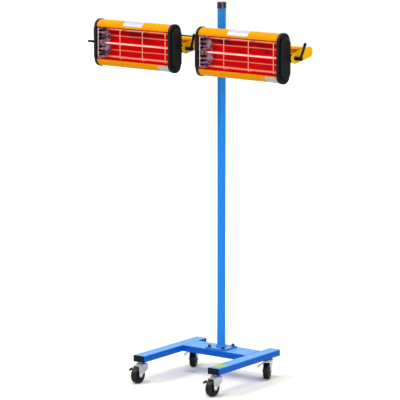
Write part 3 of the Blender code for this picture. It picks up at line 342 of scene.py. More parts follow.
class Paint:
    # the nodes of a new material, or of a new world
    def __init__(self, name, home="materials"):
        self.owner = getattr(bpy.data, home).new(name)
        self.owner.use_nodes = True
        self.tree = self.owner.node_tree
        self.tree.nodes.clear()

    def add(self, kind, inputs, output=0, **settings):
        node = self.tree.nodes.new(kind)
        for key, value in settings.items():
            setattr(node, key, value)
        for key, value in inputs.items():
            if isinstance(value, Value):
                self.tree.links.new(value.socket, node.inputs[key])
            else:
                node.inputs[key].default_value = value
        return Value(self, node.outputs[output]) if len(node.outputs) else node

    def place(self):
        return self.add("ShaderNodeTexCoord", {}, "Object")

    def noise(self, scale, detail, stretch=None, roughness=0.5):
        spot = self.place()
        if stretch:
            spot = self.add("ShaderNodeMapping", {"Vector": spot, "Scale": stretch})
        return self.add("ShaderNodeTexNoise", {
            "Vector": spot, "Scale": scale, "Detail": detail, "Roughness": roughness,
        })

    def between(self, value, low, high, fromZero=0.0, toOne=1.0):
        return self.add("ShaderNodeMapRange", {
            "Value": value, "From Min": low, "From Max": high,
            "To Min": fromZero, "To Max": toOne,
        }, interpolation_type="SMOOTHSTEP")

    def blend(self, factor, first, second):
        return self.add("ShaderNodeMix", {0: factor, 6: first, 7: second}, 2, data_type="RGBA")

    def bump(self, height, distance, strength):
        return self.add("ShaderNodeBump", {
            "Height": height, "Distance": distance, "Strength": strength,
        })

    def finish(self, inputs):
        surface = self.add("ShaderNodeBsdfPrincipled", inputs)
        self.add("ShaderNodeOutputMaterial", {"Surface": surface})
        return self.owner


def gloss(name, colour, roughness=0.26, coat=0.06, shade=0.9, dust=0.03, shine=0.1, paintedTopLight=None):
    # sprayed paint: soft cloudiness, orange peel, a little dust where the noise gathers,
    # and painted light: a paler colour on faces that look up, standing in for light from above
    paint = Paint(name)
    cloud = paint.noise(5, 2)
    base = paint.blend(cloud, dimmed(colour, shade), colour)
    # painted highlight: faces that look up are blended toward a paler colour
    if paintedTopLight:
        facing = paint.add("ShaderNodeNewGeometry", {}, "Normal")
        upward = paint.add("ShaderNodeSeparateXYZ", {"Vector": facing}, "Z")
        base = paint.blend(paint.between(upward, 0.5, 0.95), base, paintedTopLight)
    speck = paint.between(paint.noise(130, 4), 0.62, 0.8)
    peel = paint.noise(260, 2) + paint.noise(1300, 2) * 0.3
    return paint.finish({
        "Base Color": paint.blend(speck * dust, base, tint(225, 225, 220)),
        "Roughness": roughness + cloud * 0.08 + speck * 0.15,
        "Normal": paint.bump(peel, 0.00006, 0.5),
        "Specular IOR Level": shine,
        "Coat Weight": coat,
        "Coat Roughness": 0.12,
    })


def moulded(name, colour, roughness=0.42, grainSize=900, shine=0.16):
    # moulded plastic: fine spark grain and faint polish marks
    paint = Paint(name)
    grain = paint.noise(grainSize, 3, roughness=0.7)
    rub = paint.between(paint.noise(38, 5, (1, 1, 3)), 0.5, 0.75)
    return paint.finish({
        "Base Color": paint.blend(paint.noise(14, 3) * 0.6, colour, dimmed(colour, 1.6)),
        "Roughness": roughness + grain * 0.14 - rub * 0.08,
        "Specular IOR Level": shine,
        "Normal": paint.bump(grain, 0.00008, 0.6),
    })


def rubbered(name, colour):
    # tyre rubber with a little dirt
    paint = Paint(name)
    grain = paint.noise(700, 4, roughness=0.65)
    dirt = paint.between(paint.noise(60, 5), 0.48, 0.72)
    return paint.finish({
        "Base Color": paint.blend(dirt * 0.2, colour, tint(60, 58, 56)),
        "Roughness": 0.3 + grain * 0.16 + dirt * 0.12,
        "Specular IOR Level": 0.24,
        "Normal": paint.bump(grain + dirt * 0.4, 0.0001, 0.6),
    })


def plated(name, colour, roughness=0.24):
    # zinc or nickel plate with drawing lines and cloudy patches
    paint = Paint(name)
    lines = paint.noise(240, 4, (1, 1, 6))
    cloud = paint.noise(45, 4)
    return paint.finish({
        "Base Color": paint.blend(cloud, dimmed(colour, 0.78), colour),
        "Metallic": 1.0,
        "Roughness": roughness + cloud * 0.16 + lines * 0.06,
        "Normal": paint.bump(lines, 0.00003, 0.5),
    })


def satinPlate(name, colour):
    # a bare plate or patch: faint brushing and cloudy patches
    paint = Paint(name)
    lines = paint.noise(300, 3, (0.1, 1, 1))
    mottle = paint.noise(30, 3) * 0.5 + lines * 0.3
    return paint.finish({
        "Base Color": paint.blend(mottle, colour, dimmed(colour, 0.86)),
        "Metallic": 0.25,
        "Roughness": 0.34 + lines * 0.1,
        "Normal": paint.bump(lines, 0.00002, 0.4),
    })


def ceramic():
    paint = Paint("ceramic")
    grain = paint.noise(420, 4)
    return paint.finish({
        "Base Color": paint.blend(grain, tint(214, 204, 196), tint(236, 230, 224)),
        "Roughness": 0.55 + grain * 0.15,
        "Normal": paint.bump(grain, 0.00008, 0.5),
    })


def lampSpot(paint, axes):
    # the piece's own place in its lamp, kept on the mesh before it is set on the stand
    spot = paint.add("ShaderNodeAttribute", {}, "Vector", attribute_name="lampSpot")
    apart = paint.add("ShaderNodeSeparateXYZ", {"Vector": spot})
    return [apart.beside(axis) for axis in axes]


def streak(paint, height, centre, width):
    # 1 on a line at a height above or below the middle, fading out over its width
    return paint.between(abs(abs(height) - centre), 0, width, 1.0, 0.0)


# the tube is the lamp; the glow on reflector, end plates and guard wires is painted light
glowLook = dict(
    deep=tint(120, 2, 8), red=tint(206, 6, 6), tubeReflection=tint(255, 168, 134),
    glowShade=tint(70, 16, 34), strength=0.9,
    lines=((0.0275, 0.0026, 0.75), (0.0525, 0.0046, 1.0)),  # height, width and share
    slotPitch=0.0155, slotRun=(-0.042, -0.030), slotTop=(0.050, 0.053), slotShade=0.85,
    plainWireEnd=(-0.17, -0.15), coilTurns=2400.0,
)


# painted light: the mirror's dark red metal and emission stand in for the tube's reflected glow,
# with pale painted reflections of the tube, darker painted patches and a fade toward the ends
def glowingMirror(look):
    paint = Paint("glowingMirror")
    x, z = lampSpot(paint, "XZ")
    wander = paint.noise(34, 4, (0.25, 1, 1))
    ripple = paint.noise(120, 3, (0.15, 1, 1))
    height = z + (wander - 0.5) * 0.0022
    band = streak(paint, height, 0.041, 0.013)
    upper = paint.between(height, -0.01, 0.03, 0.3, 1.0)
    colour = paint.blend(band * upper * (0.5 + ripple * 0.5), look["red"], look["deep"])
    # painted shade: darker patches in the painted glow
    patchy = paint.noise(24, 3, (0.35, 1, 1.3))
    glowShade = paint.between(patchy * 0.6 + ripple * 0.4, 0.47, 0.6)
    colour = paint.blend(glowShade * upper * 0.9, colour, look["glowShade"])
    # pale lines of painted reflection of the tube on the mirror's folds
    for centre, width, share in look["lines"]:
        colour = paint.blend(streak(paint, height, centre, width) * share, colour, look["tubeReflection"])
    fade = paint.between(abs(x), 0.13, 0.185)
    return paint.finish({
        "Base Color": paint.blend(ripple, tint(44, 4, 6), tint(72, 10, 12)),
        "Metallic": 1.0,
        "Specular Tint": tint(110, 20, 24),
        "Roughness": 0.34 + ripple * 0.12,
        "Normal": paint.bump(ripple, 0.0003, 0.6),
        "Emission Color": paint.blend(fade * 0.6, colour, look["deep"]),
        "Emission Strength": look["strength"],
    })


def mirrorEnd(look):
    # stamped end plates with painted glow, brighter toward one side as if lit by the tube,
    # and painted shade running inward from each slot
    paint = Paint("mirrorEnd")
    y, z = lampSpot(paint, "YZ")
    grain = paint.noise(60, 4, (1, 1, 0.4))
    near = paint.between(y, -0.066, -0.02)
    mottle = paint.between(paint.noise(52, 4, (1, 1, 1.4), 0.6), 0.38, 0.62)
    glow = paint.blend(near * (0.3 + grain * 0.6), tint(24, 12, 20), tint(120, 20, 34))
    glow = paint.blend(mottle * 0.7, glow, tint(70, 48, 56))
    # painted shade: dark runs inward from each slot, in colour and glow, so the slots read longer
    turn = z * (math.tau / look["slotPitch"])
    rows = paint.add("ShaderNodeMath", {0: turn}, operation="COSINE")
    runs = paint.between(rows, -0.1, 0.5) * paint.between(y, *look["slotRun"], 1.0, 0.0)
    runs = runs * paint.between(abs(z), *look["slotTop"], 1.0, 0.0) * look["slotShade"]
    base = paint.blend(mottle, tint(32, 22, 28), tint(108, 84, 94))
    return paint.finish({
        "Base Color": paint.blend(runs, base, tint(14, 10, 12)),
        "Metallic": 1.0,
        "Roughness": 0.3 + grain * 0.12,
        "Normal": paint.bump(grain, 0.0003, 0.5),
        "Emission Color": paint.blend(runs, glow, tint(8, 4, 6)),
        "Emission Strength": 0.5,
    })


def hotQuartz(look):
    paint = Paint("hotQuartz")
    x, z = lampSpot(paint, "XZ")
    coil = paint.add("ShaderNodeMath", {0: x * look["coilTurns"]}, operation="SINE")
    pulse = paint.between(coil, -0.2, 0.9) * 0.35
    core = paint.blend(pulse, tint(255, 226, 222), tint(255, 180, 170))
    core = paint.blend(paint.between(abs(z), 0.0014, 0.0034), core, tint(232, 26, 18))
    ends = paint.between(abs(x), 0.160, 0.186)
    return paint.finish({
        "Base Color": tint(150, 60, 56),
        "Roughness": 0.12,
        "Emission Color": paint.blend(ends, core, tint(120, 40, 44)),
        "Emission Strength": 0.95,
        "Coat Weight": 0.4,
    })


def guardChrome(look):
    # painted reflection and glow: the guard wires are coloured and lit with the mirror's red,
    # apart from the one nearest the left end
    paint = Paint("chromedWire")
    lines = paint.noise(320, 2, (1, 1, 0.2))
    paintedRedGlow = paint.between(*lampSpot(paint, "X"), *look["plainWireEnd"])
    red = paint.blend(lines, tint(196, 138, 124), tint(224, 168, 152))
    return paint.finish({
        "Base Color": paint.blend(paintedRedGlow, tint(206, 194, 200), red),
        "Metallic": 1.0,
        "Roughness": 0.26 + lines * 0.1,
        "Emission Color": paint.blend(paintedRedGlow, tint(140, 116, 126), tint(240, 112, 84)),
        "Emission Strength": 0.34,
    })


flat = dict(roughness=0.45, coat=0, dust=0.01)  # the lamps' own duller paint
# each look's slot in the record, and its material
looks = {
    # the stand's blue is painted paler on faces that look up, a painted highlight
    "blue": ("blue_paint", gloss(
        "bluePaint", tint(0, 96, 212), shade=0.94, shine=0.12, paintedTopLight=tint(84, 172, 244))),
    # painted light: the mast has the stand's blue paint, written lighter as a painted highlight
    "mast": ("blue_paint", gloss("mastPaintPaintedLighter", tint(40, 148, 246), shade=0.96)),
    "amber": ("amber_paint", gloss(
        "amberPaint", tint(252, 160, 0), shade=0.97, shine=0.03, **flat)),
    "yellow": ("yellow_paint", gloss("yellowPaint", tint(255, 194, 0), shade=0.98, **flat)),
    "black": ("black_plastic", moulded("blackPlastic", tint(13, 14, 15))),
    "cap": ("black_plastic", moulded("capPlastic", tint(14, 15, 16), 0.34, 700)),
    "tip": ("black_plastic", moulded("glossyPlastic", tint(14, 14, 15), 0.16, shine=0.5)),
    "boom": ("black_paint", gloss("blackPaint", tint(12, 12, 14), 0.32)),
    "zinc": ("zinc_plate", plated("zincPlate", tint(224, 225, 228))),
    "steel": ("black_steel", plated("darkSteel", tint(70, 72, 78), 0.3)),
    "tyre": ("tyre", rubbered("tyreRubber", tint(15, 15, 16))),
    "mirror": ("polished_aluminium", glowingMirror(glowLook)),
    "end": ("polished_aluminium", mirrorEnd(glowLook)),
    "quartz": ("heater_quartz", hotQuartz(glowLook)),
    "chrome": ("chrome", guardChrome(glowLook)),
    "ceramic": ("black_plastic", ceramic()),
    "plate": ("polished_aluminium", satinPlate("barePlate", tint(198, 198, 204))),
    "patch": ("blue_paint", satinPlate("paleGreenPatch", tint(196, 220, 60))),
}
print("materials made:", len(looks))


def dress(piece, look, body, *stoodFor):
    slot, material = looks[look]
    piece.data.materials.clear()
    piece.data.materials.append(material)
    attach(piece, body)
    if stoodFor:
        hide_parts(*stoodFor)
    return piece


def spotOf(joint):
    return Vector(joints[joint]["pos_m"])


def turnedTo(joint, spot):
    # a place on the stand, turned to the joint's level axis
    x, y = joints[joint]["axis"][:2]
    return Matrix.Translation(spot) @ Matrix.Rotation(math.atan2(y, x), 4, "Z")


mastSpot = Vector((*spotOf("boom_turn")[:2], 0))
atMast = Matrix.Translation(mastSpot)

# stand
stand = dict(
    legBottom=0.080, legTop=0.105, legWidth=0.050, legCorner=0.003,
    legFront=-0.292, legBack=0.107, legHalfSpacing=0.1745, plugThick=0.0027,
    crossHalf=0.1492, crossFront=-0.047, crossBack=0.053, bead=0.0014,
    flangeWidth=0.090, flangeThick=0.005, flangeCorner=0.004,
    boltPitch=0.0325, boltHead=0.0065, washer=0.0078,
    mastRadius=0.016, mastTop=1.4349, mastBottom=0.1108,
    capRadius=0.0181, capBottom=1.413, capTop=1.437,
    patchWidth=0.034, patchLength=0.052, patchSetback=0.046,
)
plugGap = 0.0003


def bar(name, section, axis, low, high):
    # the outside of a rectangular tube, its edges just broken
    return eased(drawn(name, roundedBox(*section), axis, low, high), 0.0004, 2, 60)


def endPlug(name, section, axis, face, way, thick):
    # a plug a hair off a tube's open end
    start = face + way * plugGap
    return eased(drawn(name, roundedBox(*section), axis, start, start + way * thick), 0.0009, 3, 60)


def hexBolt(name, radius, low, high):
    return eased(lathed(name, rod(radius, low, high, 0.0004, radius * 0.06), sides=6), 0.0003, 2)


def rippled(piece, count, depth, above):
    # small waves round a weld, on the points above a height
    for point in piece.data.vertices:
        if point.co.z > above:
            turn = math.atan2(point.co.y, point.co.x)
            swell = 1 + depth * (1 + math.cos(count * turn)) / point.co.xy.length / 2
            point.co.x *= swell
            point.co.y *= swell
    return piece


def makeWelds(s, depth, thick):
    # beads where the cross member meets the legs, up both sides and along the top
    beads = []
    for sign in (-1, 1):
        x = sign * (s["crossHalf"] + 0.0002)
        for y in (s["crossFront"] + 0.0004, s["crossBack"] - 0.0004):
            points = [(x, y, s["legBottom"] + thick * step / 12) for step in range(1, 12)]
            beads.append(wire("bead", points, s["bead"], 2))
        points = [(x, s["crossFront"] + depth * step / 30, s["legTop"] - 0.0006)
                  for step in range(1, 30)]
        beads.append(wire("bead", points, s["bead"] - 0.0001, 2))
    return joined("frameWelds", *beads)


def makeFlangeBolts(s, under, top):
    disc = lathed("washer", [(s["washer"], top), (s["washer"], top + 0.0016)], sides=40)
    steps = stepped(top, (5.2, 6.8), (5.0, 7.8), (4.2, 9.2), (3.0, 10.2), (1.2, 10.8))
    bolt = joined(
        "bolt", eased(disc, 0.0003, 2),
        hexBolt("nut", s["boltHead"], top + 0.0016, top + 0.0070),
        shaded(lathed("dome", steps, sides=32), 60),
        hexBolt("head", s["boltHead"], under - 0.0068, under - 0.0026),
    )
    pitch = s["boltPitch"]
    spots = [shifted(x * pitch, y * pitch, 0) for x in (-1, 1) for y in (-1, 1)]
    bolts = joined("flangeBolts", *[copied(bolt, "flangeBolt", spot) for spot in spots])
    dropped(bolt)
    return bolts


def buildStand(s):
    under, r, c, capTop = s["legTop"], s["mastRadius"], s["capRadius"], s["capTop"]
    thick, depth = under - s["legBottom"], s["crossBack"] - s["crossFront"]
    middle = s["legBottom"] + thick / 2

    def stands(piece, look, *stoodFor):
        return dress(settle(piece, atMast), look, "stand", *stoodFor)

    for side, sign in hands:
        section = (s["legWidth"], thick, s["legCorner"], (sign * s["legHalfSpacing"], middle))
        leg = bar(f"{side}LegTube", section, "Y", s["legFront"], s["legBack"])
        stands(leg, "blue", f"{side}_leg")
        for row, face, way in (("front", s["legFront"], -1), ("rear", s["legBack"], 1)):
            name = f"{row}{side.title()}LegPlug"
            plug = endPlug(name, section, "Y", face, way, s["plugThick"])
            pressed(plug, "Y", way, (0.0010, 0), (0.0004, -0.0004))
            stands(shaded(plug), "black", f"{row}_{side}_leg_plug")
    section = (depth, thick, s["legCorner"], (s["crossFront"] + depth / 2, middle))
    cross = bar("crossTube", section, "X", -s["crossHalf"], s["crossHalf"])
    stands(cross, "blue", "cross_member")
    stands(makeWelds(s, depth, thick), "blue")
    # foot plate, its weld and its bolts
    low = under + 0.0003
    top = low + s["flangeThick"]
    plan = roundedBox(s["flangeWidth"], s["flangeWidth"], s["flangeCorner"])
    plate = eased(drawn("plate", plan, "Z", low, top), 0.0008)
    steps = stepped(
        top, (5.6, -1), (5.6, 0.2), (4.4, 2.4), (2.6, 4.4), (0.8, 5.8), (0.3, 6), core=r)
    weld = rippled(lathed("weld", steps, sides=96), 40, 0.0005, top)
    stands(joined("flangePlate", plate, shaded(weld, 50)), "blue", "mast_flange")
    stands(makeFlangeBolts(s, under, top), "steel")
    # mast and its cap
    mast = lathed("mastTube", [(r, s["mastBottom"]), (r, s["mastTop"])], sides=96)
    pick(mast, lambda face: abs(face.normal.z) < 0.5)
    bpy.ops.mesh.subdivide(number_cuts=6)
    closeMesh()
    stands(shaded(mast), "mast", "mast")
    steps = stepped(s["capBottom"], (-0.6, 0), (0, 0.6), (0, 3.2), (-0.5, 3.8), core=c)
    steps += [(c - 0.0005, capTop - 0.0034)]
    steps += arc((c - 0.0035, capTop - 0.003), 0.003, 0, quarter, 5)
    steps += [(c - 0.008, capTop - 0.00005), (0.002, capTop)]
    stands(shaded(lathed("mastEndCap", steps, sides=64)), "tip", "mast_cap")
    # a plain pale patch on the right leg's top, near its front
    spot = (s["legHalfSpacing"], s["legFront"] + s["patchSetback"])
    plan = roundedBox(s["patchWidth"], s["patchLength"], 0.002, spot)
    stands(shaded(drawn("legPatch", plan, "Z", under + 0.00001, under + 0.00035)), "patch")


buildStand(stand)
print("stand built")

# casters, each made once about its swivel axis with the wheel toward -Y
caster = dict(
    wheelRadius=0.0315, wheelHalf=0.0115, trail=0.022, wheelZ=-0.0485, ribs=5,
    forkHalf=0.0127, forkWall=0.0025, forkTop=-0.0103, skirt=0.018,
    plateRadius=0.0255, axleBoss=0.009, earX=-0.0157, earRadius=0.0029,
    brakeX=-0.019, brakeZ=-0.0203, brakeRoom=0.0073,
)
brake = dict(
    barrel=0.0035, barrelHalf=0.0065, drop=38, reach=0.0195, armHalf=0.0062,
    padStart=0.0100, padHalf=0.0085, padRadius=0.0038,
)


def makeFork(c):
    inner, outer = c["forkHalf"], c["forkHalf"] + c["forkWall"]
    top, skirt, boss = c["forkTop"], c["forkTop"] - c["skirt"], c["axleBoss"]
    y, z, room = -c["trail"], c["wheelZ"], c["brakeRoom"]
    brakeX, brakeZ = c["brakeX"], c["brakeZ"]
    low, far = -0.085, 0.08  # beyond the fork, for what cuts it
    side = [(c["plateRadius"], top), (c["plateRadius"], skirt)]
    side += arc((y, z), boss, 0, -math.pi, 16) + [(y - boss - 0.0025, skirt), (y - boss, top)]
    shell = drawn("fork", side, "X", -outer, outer)
    plan = drawn("plan", stadium((0, 0), (0, y), c["plateRadius"], 24), "Z", low, top + 0.002)
    slot = block("slot", (-inner, -far, low), (inner, far, top - c["forkWall"]))
    window = block("window", (-outer - 0.002, y - room, brakeZ - 0.0072),
                   (0.002 - inner, y + room, brakeZ + 0.0043))
    shell = carve(carve(shell, "INTERSECT", plan), "DIFFERENCE", slot, window)
    parts = [eased(shell, 0.0006)]
    for way in (-1, 1):
        start = y + way * room
        ear = stadium((brakeX, brakeZ), (c["earX"], brakeZ), c["earRadius"], 10)
        parts.append(eased(drawn("ear", ear, "Y", start, start + way * 0.0022), 0.0003, 2))
        steps = stepped(
            outer, (6.8, -0.2), (6.8, 0.6), (5.8, 0.8), (5.8, 3.2), (5.0, 3.9), (2.0, 4.0))
        nut = lathed("axleNut", steps, "X", (0, y, z), 6 if way > 0 else 32)
        parts.append(shaded(otherHand(nut, way, y), 35))
    steps = stepped(0, (2.2, -11.2), (2.2, -9.8), (1.6, -9.6), (1.6, 9.6), (2.2, 9.8), (2.2, 11.2))
    parts.append(shaded(lathed("pin", steps, "Y", (brakeX, y, brakeZ), 24)))
    # ball race on the plate, seen as a stepped ring with the neck above it, and a boss below
    steps = stepped(top, (17.5, 0.2), (19.8, 1.6), (19.8, 2.8), (17.0, 4.6), (11.0, 5.8),
                    (7.8, 6.2), (7.8, 10))
    parts.append(shaded(lathed("race", steps), 35))
    steps = stepped(top, (8.0, -5.2), (8.0, -4.6), (10.5, -4.0), (12.5, -2.7))
    parts.append(shaded(lathed("under", steps, sides=32), 35))
    return joined("casterFork", *parts)


def makeWheel(c):
    half = c["wheelHalf"]
    steps = stepped(0.0004 - c["forkHalf"], (4.2, 0), (7.8, 0), (8.8, 0.6))
    steps += stepped(-half, (9.5, 4), (20.5, 4), (22.2, 1), (23.6, 0))
    steps += stepped(-half, (-3, 0), (-1.2, 0.6), (-0.4, 2.4), (0, 5), core=c["wheelRadius"])
    steps += [(radius, -place) for radius, place in reversed(steps)]
    wheel = shaded(lathed("wheel", steps, "X", sides=96), 32)
    # ribs in the web on each side
    ribs = []
    for way in (-1, 1):
        low, high = sorted((way * (half - 0.0042), way * (half - 0.0012)))
        for number in range(c["ribs"]):
            rib = eased(block("rib", (low, -0.0013, 0.0086), (high, 0.0013, 0.0220)), 0.0005, 2)
            ribs.append(settle(rib, Matrix.Rotation(math.tau * number / c["ribs"], 4, "X")))
    return joined("casterWheel", wheel, *ribs)


def makeBrake(b):
    half, drop = b["armHalf"], math.radians(b["drop"])

    def along(reach):
        return (-math.cos(drop) * reach, -math.sin(drop) * reach)

    barrel = lathed(
        "barrel", rod(b["barrel"], -b["barrelHalf"], b["barrelHalf"], 0.0004), "Y", sides=32)
    arm = drawn("arm", stadium(along(0.0024), along(b["reach"]), 0.0009, 6), "Y", -half, half)
    nose = stadium((0.0030, -0.0018), (0.0042, -0.0036), 0.0016, 8)
    nose = drawn("nose", nose, "Y", 0.0002 - half, half - 0.0002)
    metal = joined("casterBrake", shaded(barrel), eased(arm, 0.0004, 2), shaded(nose))
    grip = stadium(along(b["padStart"]), along(b["reach"]), b["padRadius"], 10)
    return metal, eased(drawn("brakePad", grip, "Y", -b["padHalf"], b["padHalf"]), 0.0006)


def buildCasters(c):
    fork, wheel = makeFork(c), makeWheel(c)
    metal, pad = makeBrake(brake)
    for corner in corners:
        at = turnedTo(f"{corner}_roll", spotOf(f"{corner}_swivel"))
        hub = at @ shifted(0, -c["trail"], c["wheelZ"])
        pedal = at @ shifted(c["brakeX"], -c["trail"], c["brakeZ"])
        tag = corner.title().replace("_", "")
        body = f"{corner}_brake_pedal"
        dress(copied(fork, f"fork{tag}", at), "zinc", f"{corner}_caster", f"{corner}_fork")
        dress(copied(wheel, f"wheel{tag}", hub), "tyre", f"{corner}_roller", f"{corner}_wheel")
        dress(copied(metal, f"brake{tag}", pedal), "zinc", body, f"{corner}_brake")
        dress(copied(pad, f"brakePad{tag}", pedal), "black" if "front" in corner else "zinc", body)
    dropped(fork, wheel, metal, pad)


buildCasters(caster)
print("casters built")

# collar, sleeve, knobs and boom
carriage = dict(
    bore=0.0163,
    collar=dict(low=1.2277, high=1.2537, radius=0.0238, edge=0.0015,
               bossRoot=0.020, bossWaist=0.0235, bossFace=0.0338),
    sleeve=dict(low=1.254, high=1.314, radius=0.0203, edge=0.001,
               bossRoot=0.017, bossWaist=0.020, bossFace=0.0303),
    plateFront=-0.0223, plateBack=-0.0183, plateWidth=0.068, plateHeight=0.060,
    boomFront=-0.0426, boomBack=-0.0226, boomLow=1.264, boomHigh=1.304,
    boomHalf=0.350, boomCorner=0.004, plugThick=0.003, boltX=0.026,
)
knob = dict(
    neck=0.008, grip=0.016, radius=0.021, lobes=5, lobeDepth=0.0035,
    points=80, rim=0.0045,
)


def makeRing(name, ring, bore, *extra):
    # a ring round the mast with a boss for its knob, open right through
    low, high, face = ring["low"], ring["high"], ring["bossFace"]
    body = lathed(name, rod(ring["radius"], low, high, ring["edge"]), sides=72)
    tool = lathed("bore", [(bore, low - 0.002), (bore, high + 0.002)], sides=72)
    steps = [(0.0098, ring["bossRoot"]), (0.009, ring["bossWaist"]), (0.009, face - 0.0006),
             (0.0084, face)]
    boss = lathed("boss", steps, "Y", (0, 0, (low + high) / 2))
    return shaded(carve(carve(body, "UNION", *extra, boss), "DIFFERENCE", tool), 35)


def makeKnob(name, ring, k):
    # lobed grip with a waist, a face recess and its neck
    start = ring["bossFace"] + 0.0003
    neckEnd = start + k["neck"]
    outline = []
    for step in range(k["points"]):
        turn = math.tau * step / k["points"]
        radius = k["radius"] - k["lobeDepth"] * (1 - math.cos(k["lobes"] * turn)) / 2
        outline.append((radius * math.cos(turn), radius * math.sin(turn)))
    grip = eased(drawn("grip", outline, "Y", neckEnd, neckEnd + k["grip"]), 0.0022, 4, 60)
    pressed(grip, "Y", 1, (k["rim"], 0), (0.0012, -0.0015))
    steps = stepped(start, (7.2, 0), (8, 0.8), (7.8, 5)) + [(0.0095, neckEnd + 0.001)]
    whole = joined(name, shaded(grip), shaded(lathed("neck", steps, "Y")))
    return settle(whole, shifted(0, 0, (ring["low"] + ring["high"]) / 2))


def hexHead(x, z, low, high):
    return shaded(lathed("head", rod(0.0065, low, high, 0.0004, 0.0003), "Y", (x, 0, z), 6), 30)


def buildCarriage(c):
    atBoom = turnedTo("left_lamp_tilt", mastSpot)
    collar, sleeve, body = c["collar"], c["sleeve"], "boom_carriage"
    middle = (sleeve["low"] + sleeve["high"]) / 2
    ring = makeRing("heightCollar", collar, c["bore"])
    dress(settle(ring, atMast), "boom", "carriage", "height_collar")
    plate = roundedBox(c["plateWidth"], c["plateHeight"], 0.003, (0, middle))
    plate = eased(drawn("plate", plate, "Y", c["plateFront"], c["plateBack"]), 0.0006, 2)
    ring = makeRing("swivelSleeve", sleeve, c["bore"], plate)
    dress(settle(ring, atBoom), "boom", body, "boom_sleeve")
    for name, ring, at in (("collar", collar, atMast), ("sleeve", sleeve, atBoom)):
        grip = settle(makeKnob(f"{name}Knob", ring, knob), at)
        dress(grip, "black", f"{name}_knob_body", f"{name}_knob")
    half, depth = c["boomHalf"], c["boomBack"] - c["boomFront"]
    height = c["boomHigh"] - c["boomLow"]
    centre = (c["boomFront"] + depth / 2, c["boomLow"] + height / 2)
    section = (depth, height, c["boomCorner"], centre)
    dress(settle(bar("boomTube", section, "X", -half, half), atBoom), "boom", body, "boom")
    for side, sign in hands:
        name = f"boomPlug{side.title()}"
        plug = endPlug(name, section, "X", sign * half, sign, c["plugThick"])
        dress(settle(plug, atBoom), "black", body, f"boom_{side}_plug")
    front, back = c["boomFront"] - 0.0043, c["plateBack"]
    bolts = [hexHead(x, middle, low, low + 0.004)
             for x in (-c["boltX"], c["boltX"]) for low in (front, back)]
    dress(settle(joined("sleeveBolts", *bolts), atBoom), "steel", body)


buildCarriage(carriage)
print("carriage built")

# lamps: every piece is made once, with the tilt axis through the origin
lamp = dict(
    middleY=-0.040, curlRadius=0.026, curlZ=0.063, wall=0.0015, housingHalf=0.2067,
    capDepth=0.058, capHeight=0.184, capIn=0.200, capOut=0.212, capFloor=0.207,
    padOut=0.2235, padDepth=0.046, padHeight=0.147, pocketHeight=0.1786,
    lugRadius=0.015, lugEnd=0.209, pinHole=0.0043,
    front=-0.0635, sideZ=0.0617, cornerDepth=0.028, cornerZ=0.0587,
    flatDepth=0.045, flatZ=0.028, ridgeDepth=0.041, flangeZ=0.0657,
    sheet=0.001, lean=0.667, endFit=1.012, holeDepth=0.0235, holeRadius=0.0068,
    slots=7, slotPitch=glowLook["slotPitch"], slotHeight=0.008, slotReach=0.010,
    slotInset=0.005, slotCorner=0.0034,
    tubeHalf=0.2037, tubeRadius=0.005, socketIn=0.191, socketEnd=0.2095,
    socketRadius=0.0085, wireX=(-0.1876, -0.0626, 0.0626, 0.1876), wireY=-0.0705,
    wireZ=0.054, wireBend=0.004, wireRadius=0.0015, wireHook=0.0290,
    # up or down, the turns in degrees where it starts and ends, and its ends along the housing
    plates=((1, 98, 166, -0.052, 0.052), (-1, 112, 172, 0.140, 0.1975)),
    leverLeans=(-2, -9),
    glands=((0.056, (-0.2238, -0.040, 0)), (0.030, (-0.0393, -0.0007, 0))),
)
lever = dict(start=0.2276, length=0.033, reach=0.060, lean=15)
box = dict(
    width=0.078, height=0.056, corner=0.005, front=-0.0137, back=0.0123,
    switchX=0.015, switchWidth=0.0266, switchHeight=0.0326, bezel=0.003,
    screwX=0.034, screwZ=0.023, rockerTilt=9, rockerHalf=0.0095, rockerY=0.0083,
)
bracket = dict(
    front=0.059, back=0.081, low=0.001, high=0.035, wall=0.0022, lip=0.009,
    half=0.2253, cheekIn=0.2243, cheekOut=0.2273, cheekRadius=0.020,
    rearY=0.073, rearZ=0.018, boltX=0.060, spacerRadius=0.009, spacerEnd=0.093,
    heads=(0.0748, 0.1136),
)


def markSpot(piece):
    # keeps each point's place in the lamp for the materials
    spots = piece.data.attributes.new("lampSpot", "FLOAT_VECTOR", "POINT")
    values = [value for point in piece.data.vertices for value in point.co]
    spots.data.foreach_set("vector", values)
    return piece


def makeHousing(p):
    y, z, half = p["middleY"], p["curlZ"], p["housingHalf"]

    def curl(inset):
        radius = p["curlRadius"] - inset
        return arc((y, z), radius, math.pi, 0, 28) + arc((y, -z), radius, 0, -math.pi, 28)

    outline = curl(0) + curl(p["wall"])[::-1]
    return eased(drawn("housing", outline, "X", -half, half), 0.0003, 2, 50)


def pinHole(sign, low, high):
    radius = lamp["pinHole"]
    return otherHand(lathed("pinHole", [(radius, low), (radius, high)], "X", sides=32), sign)


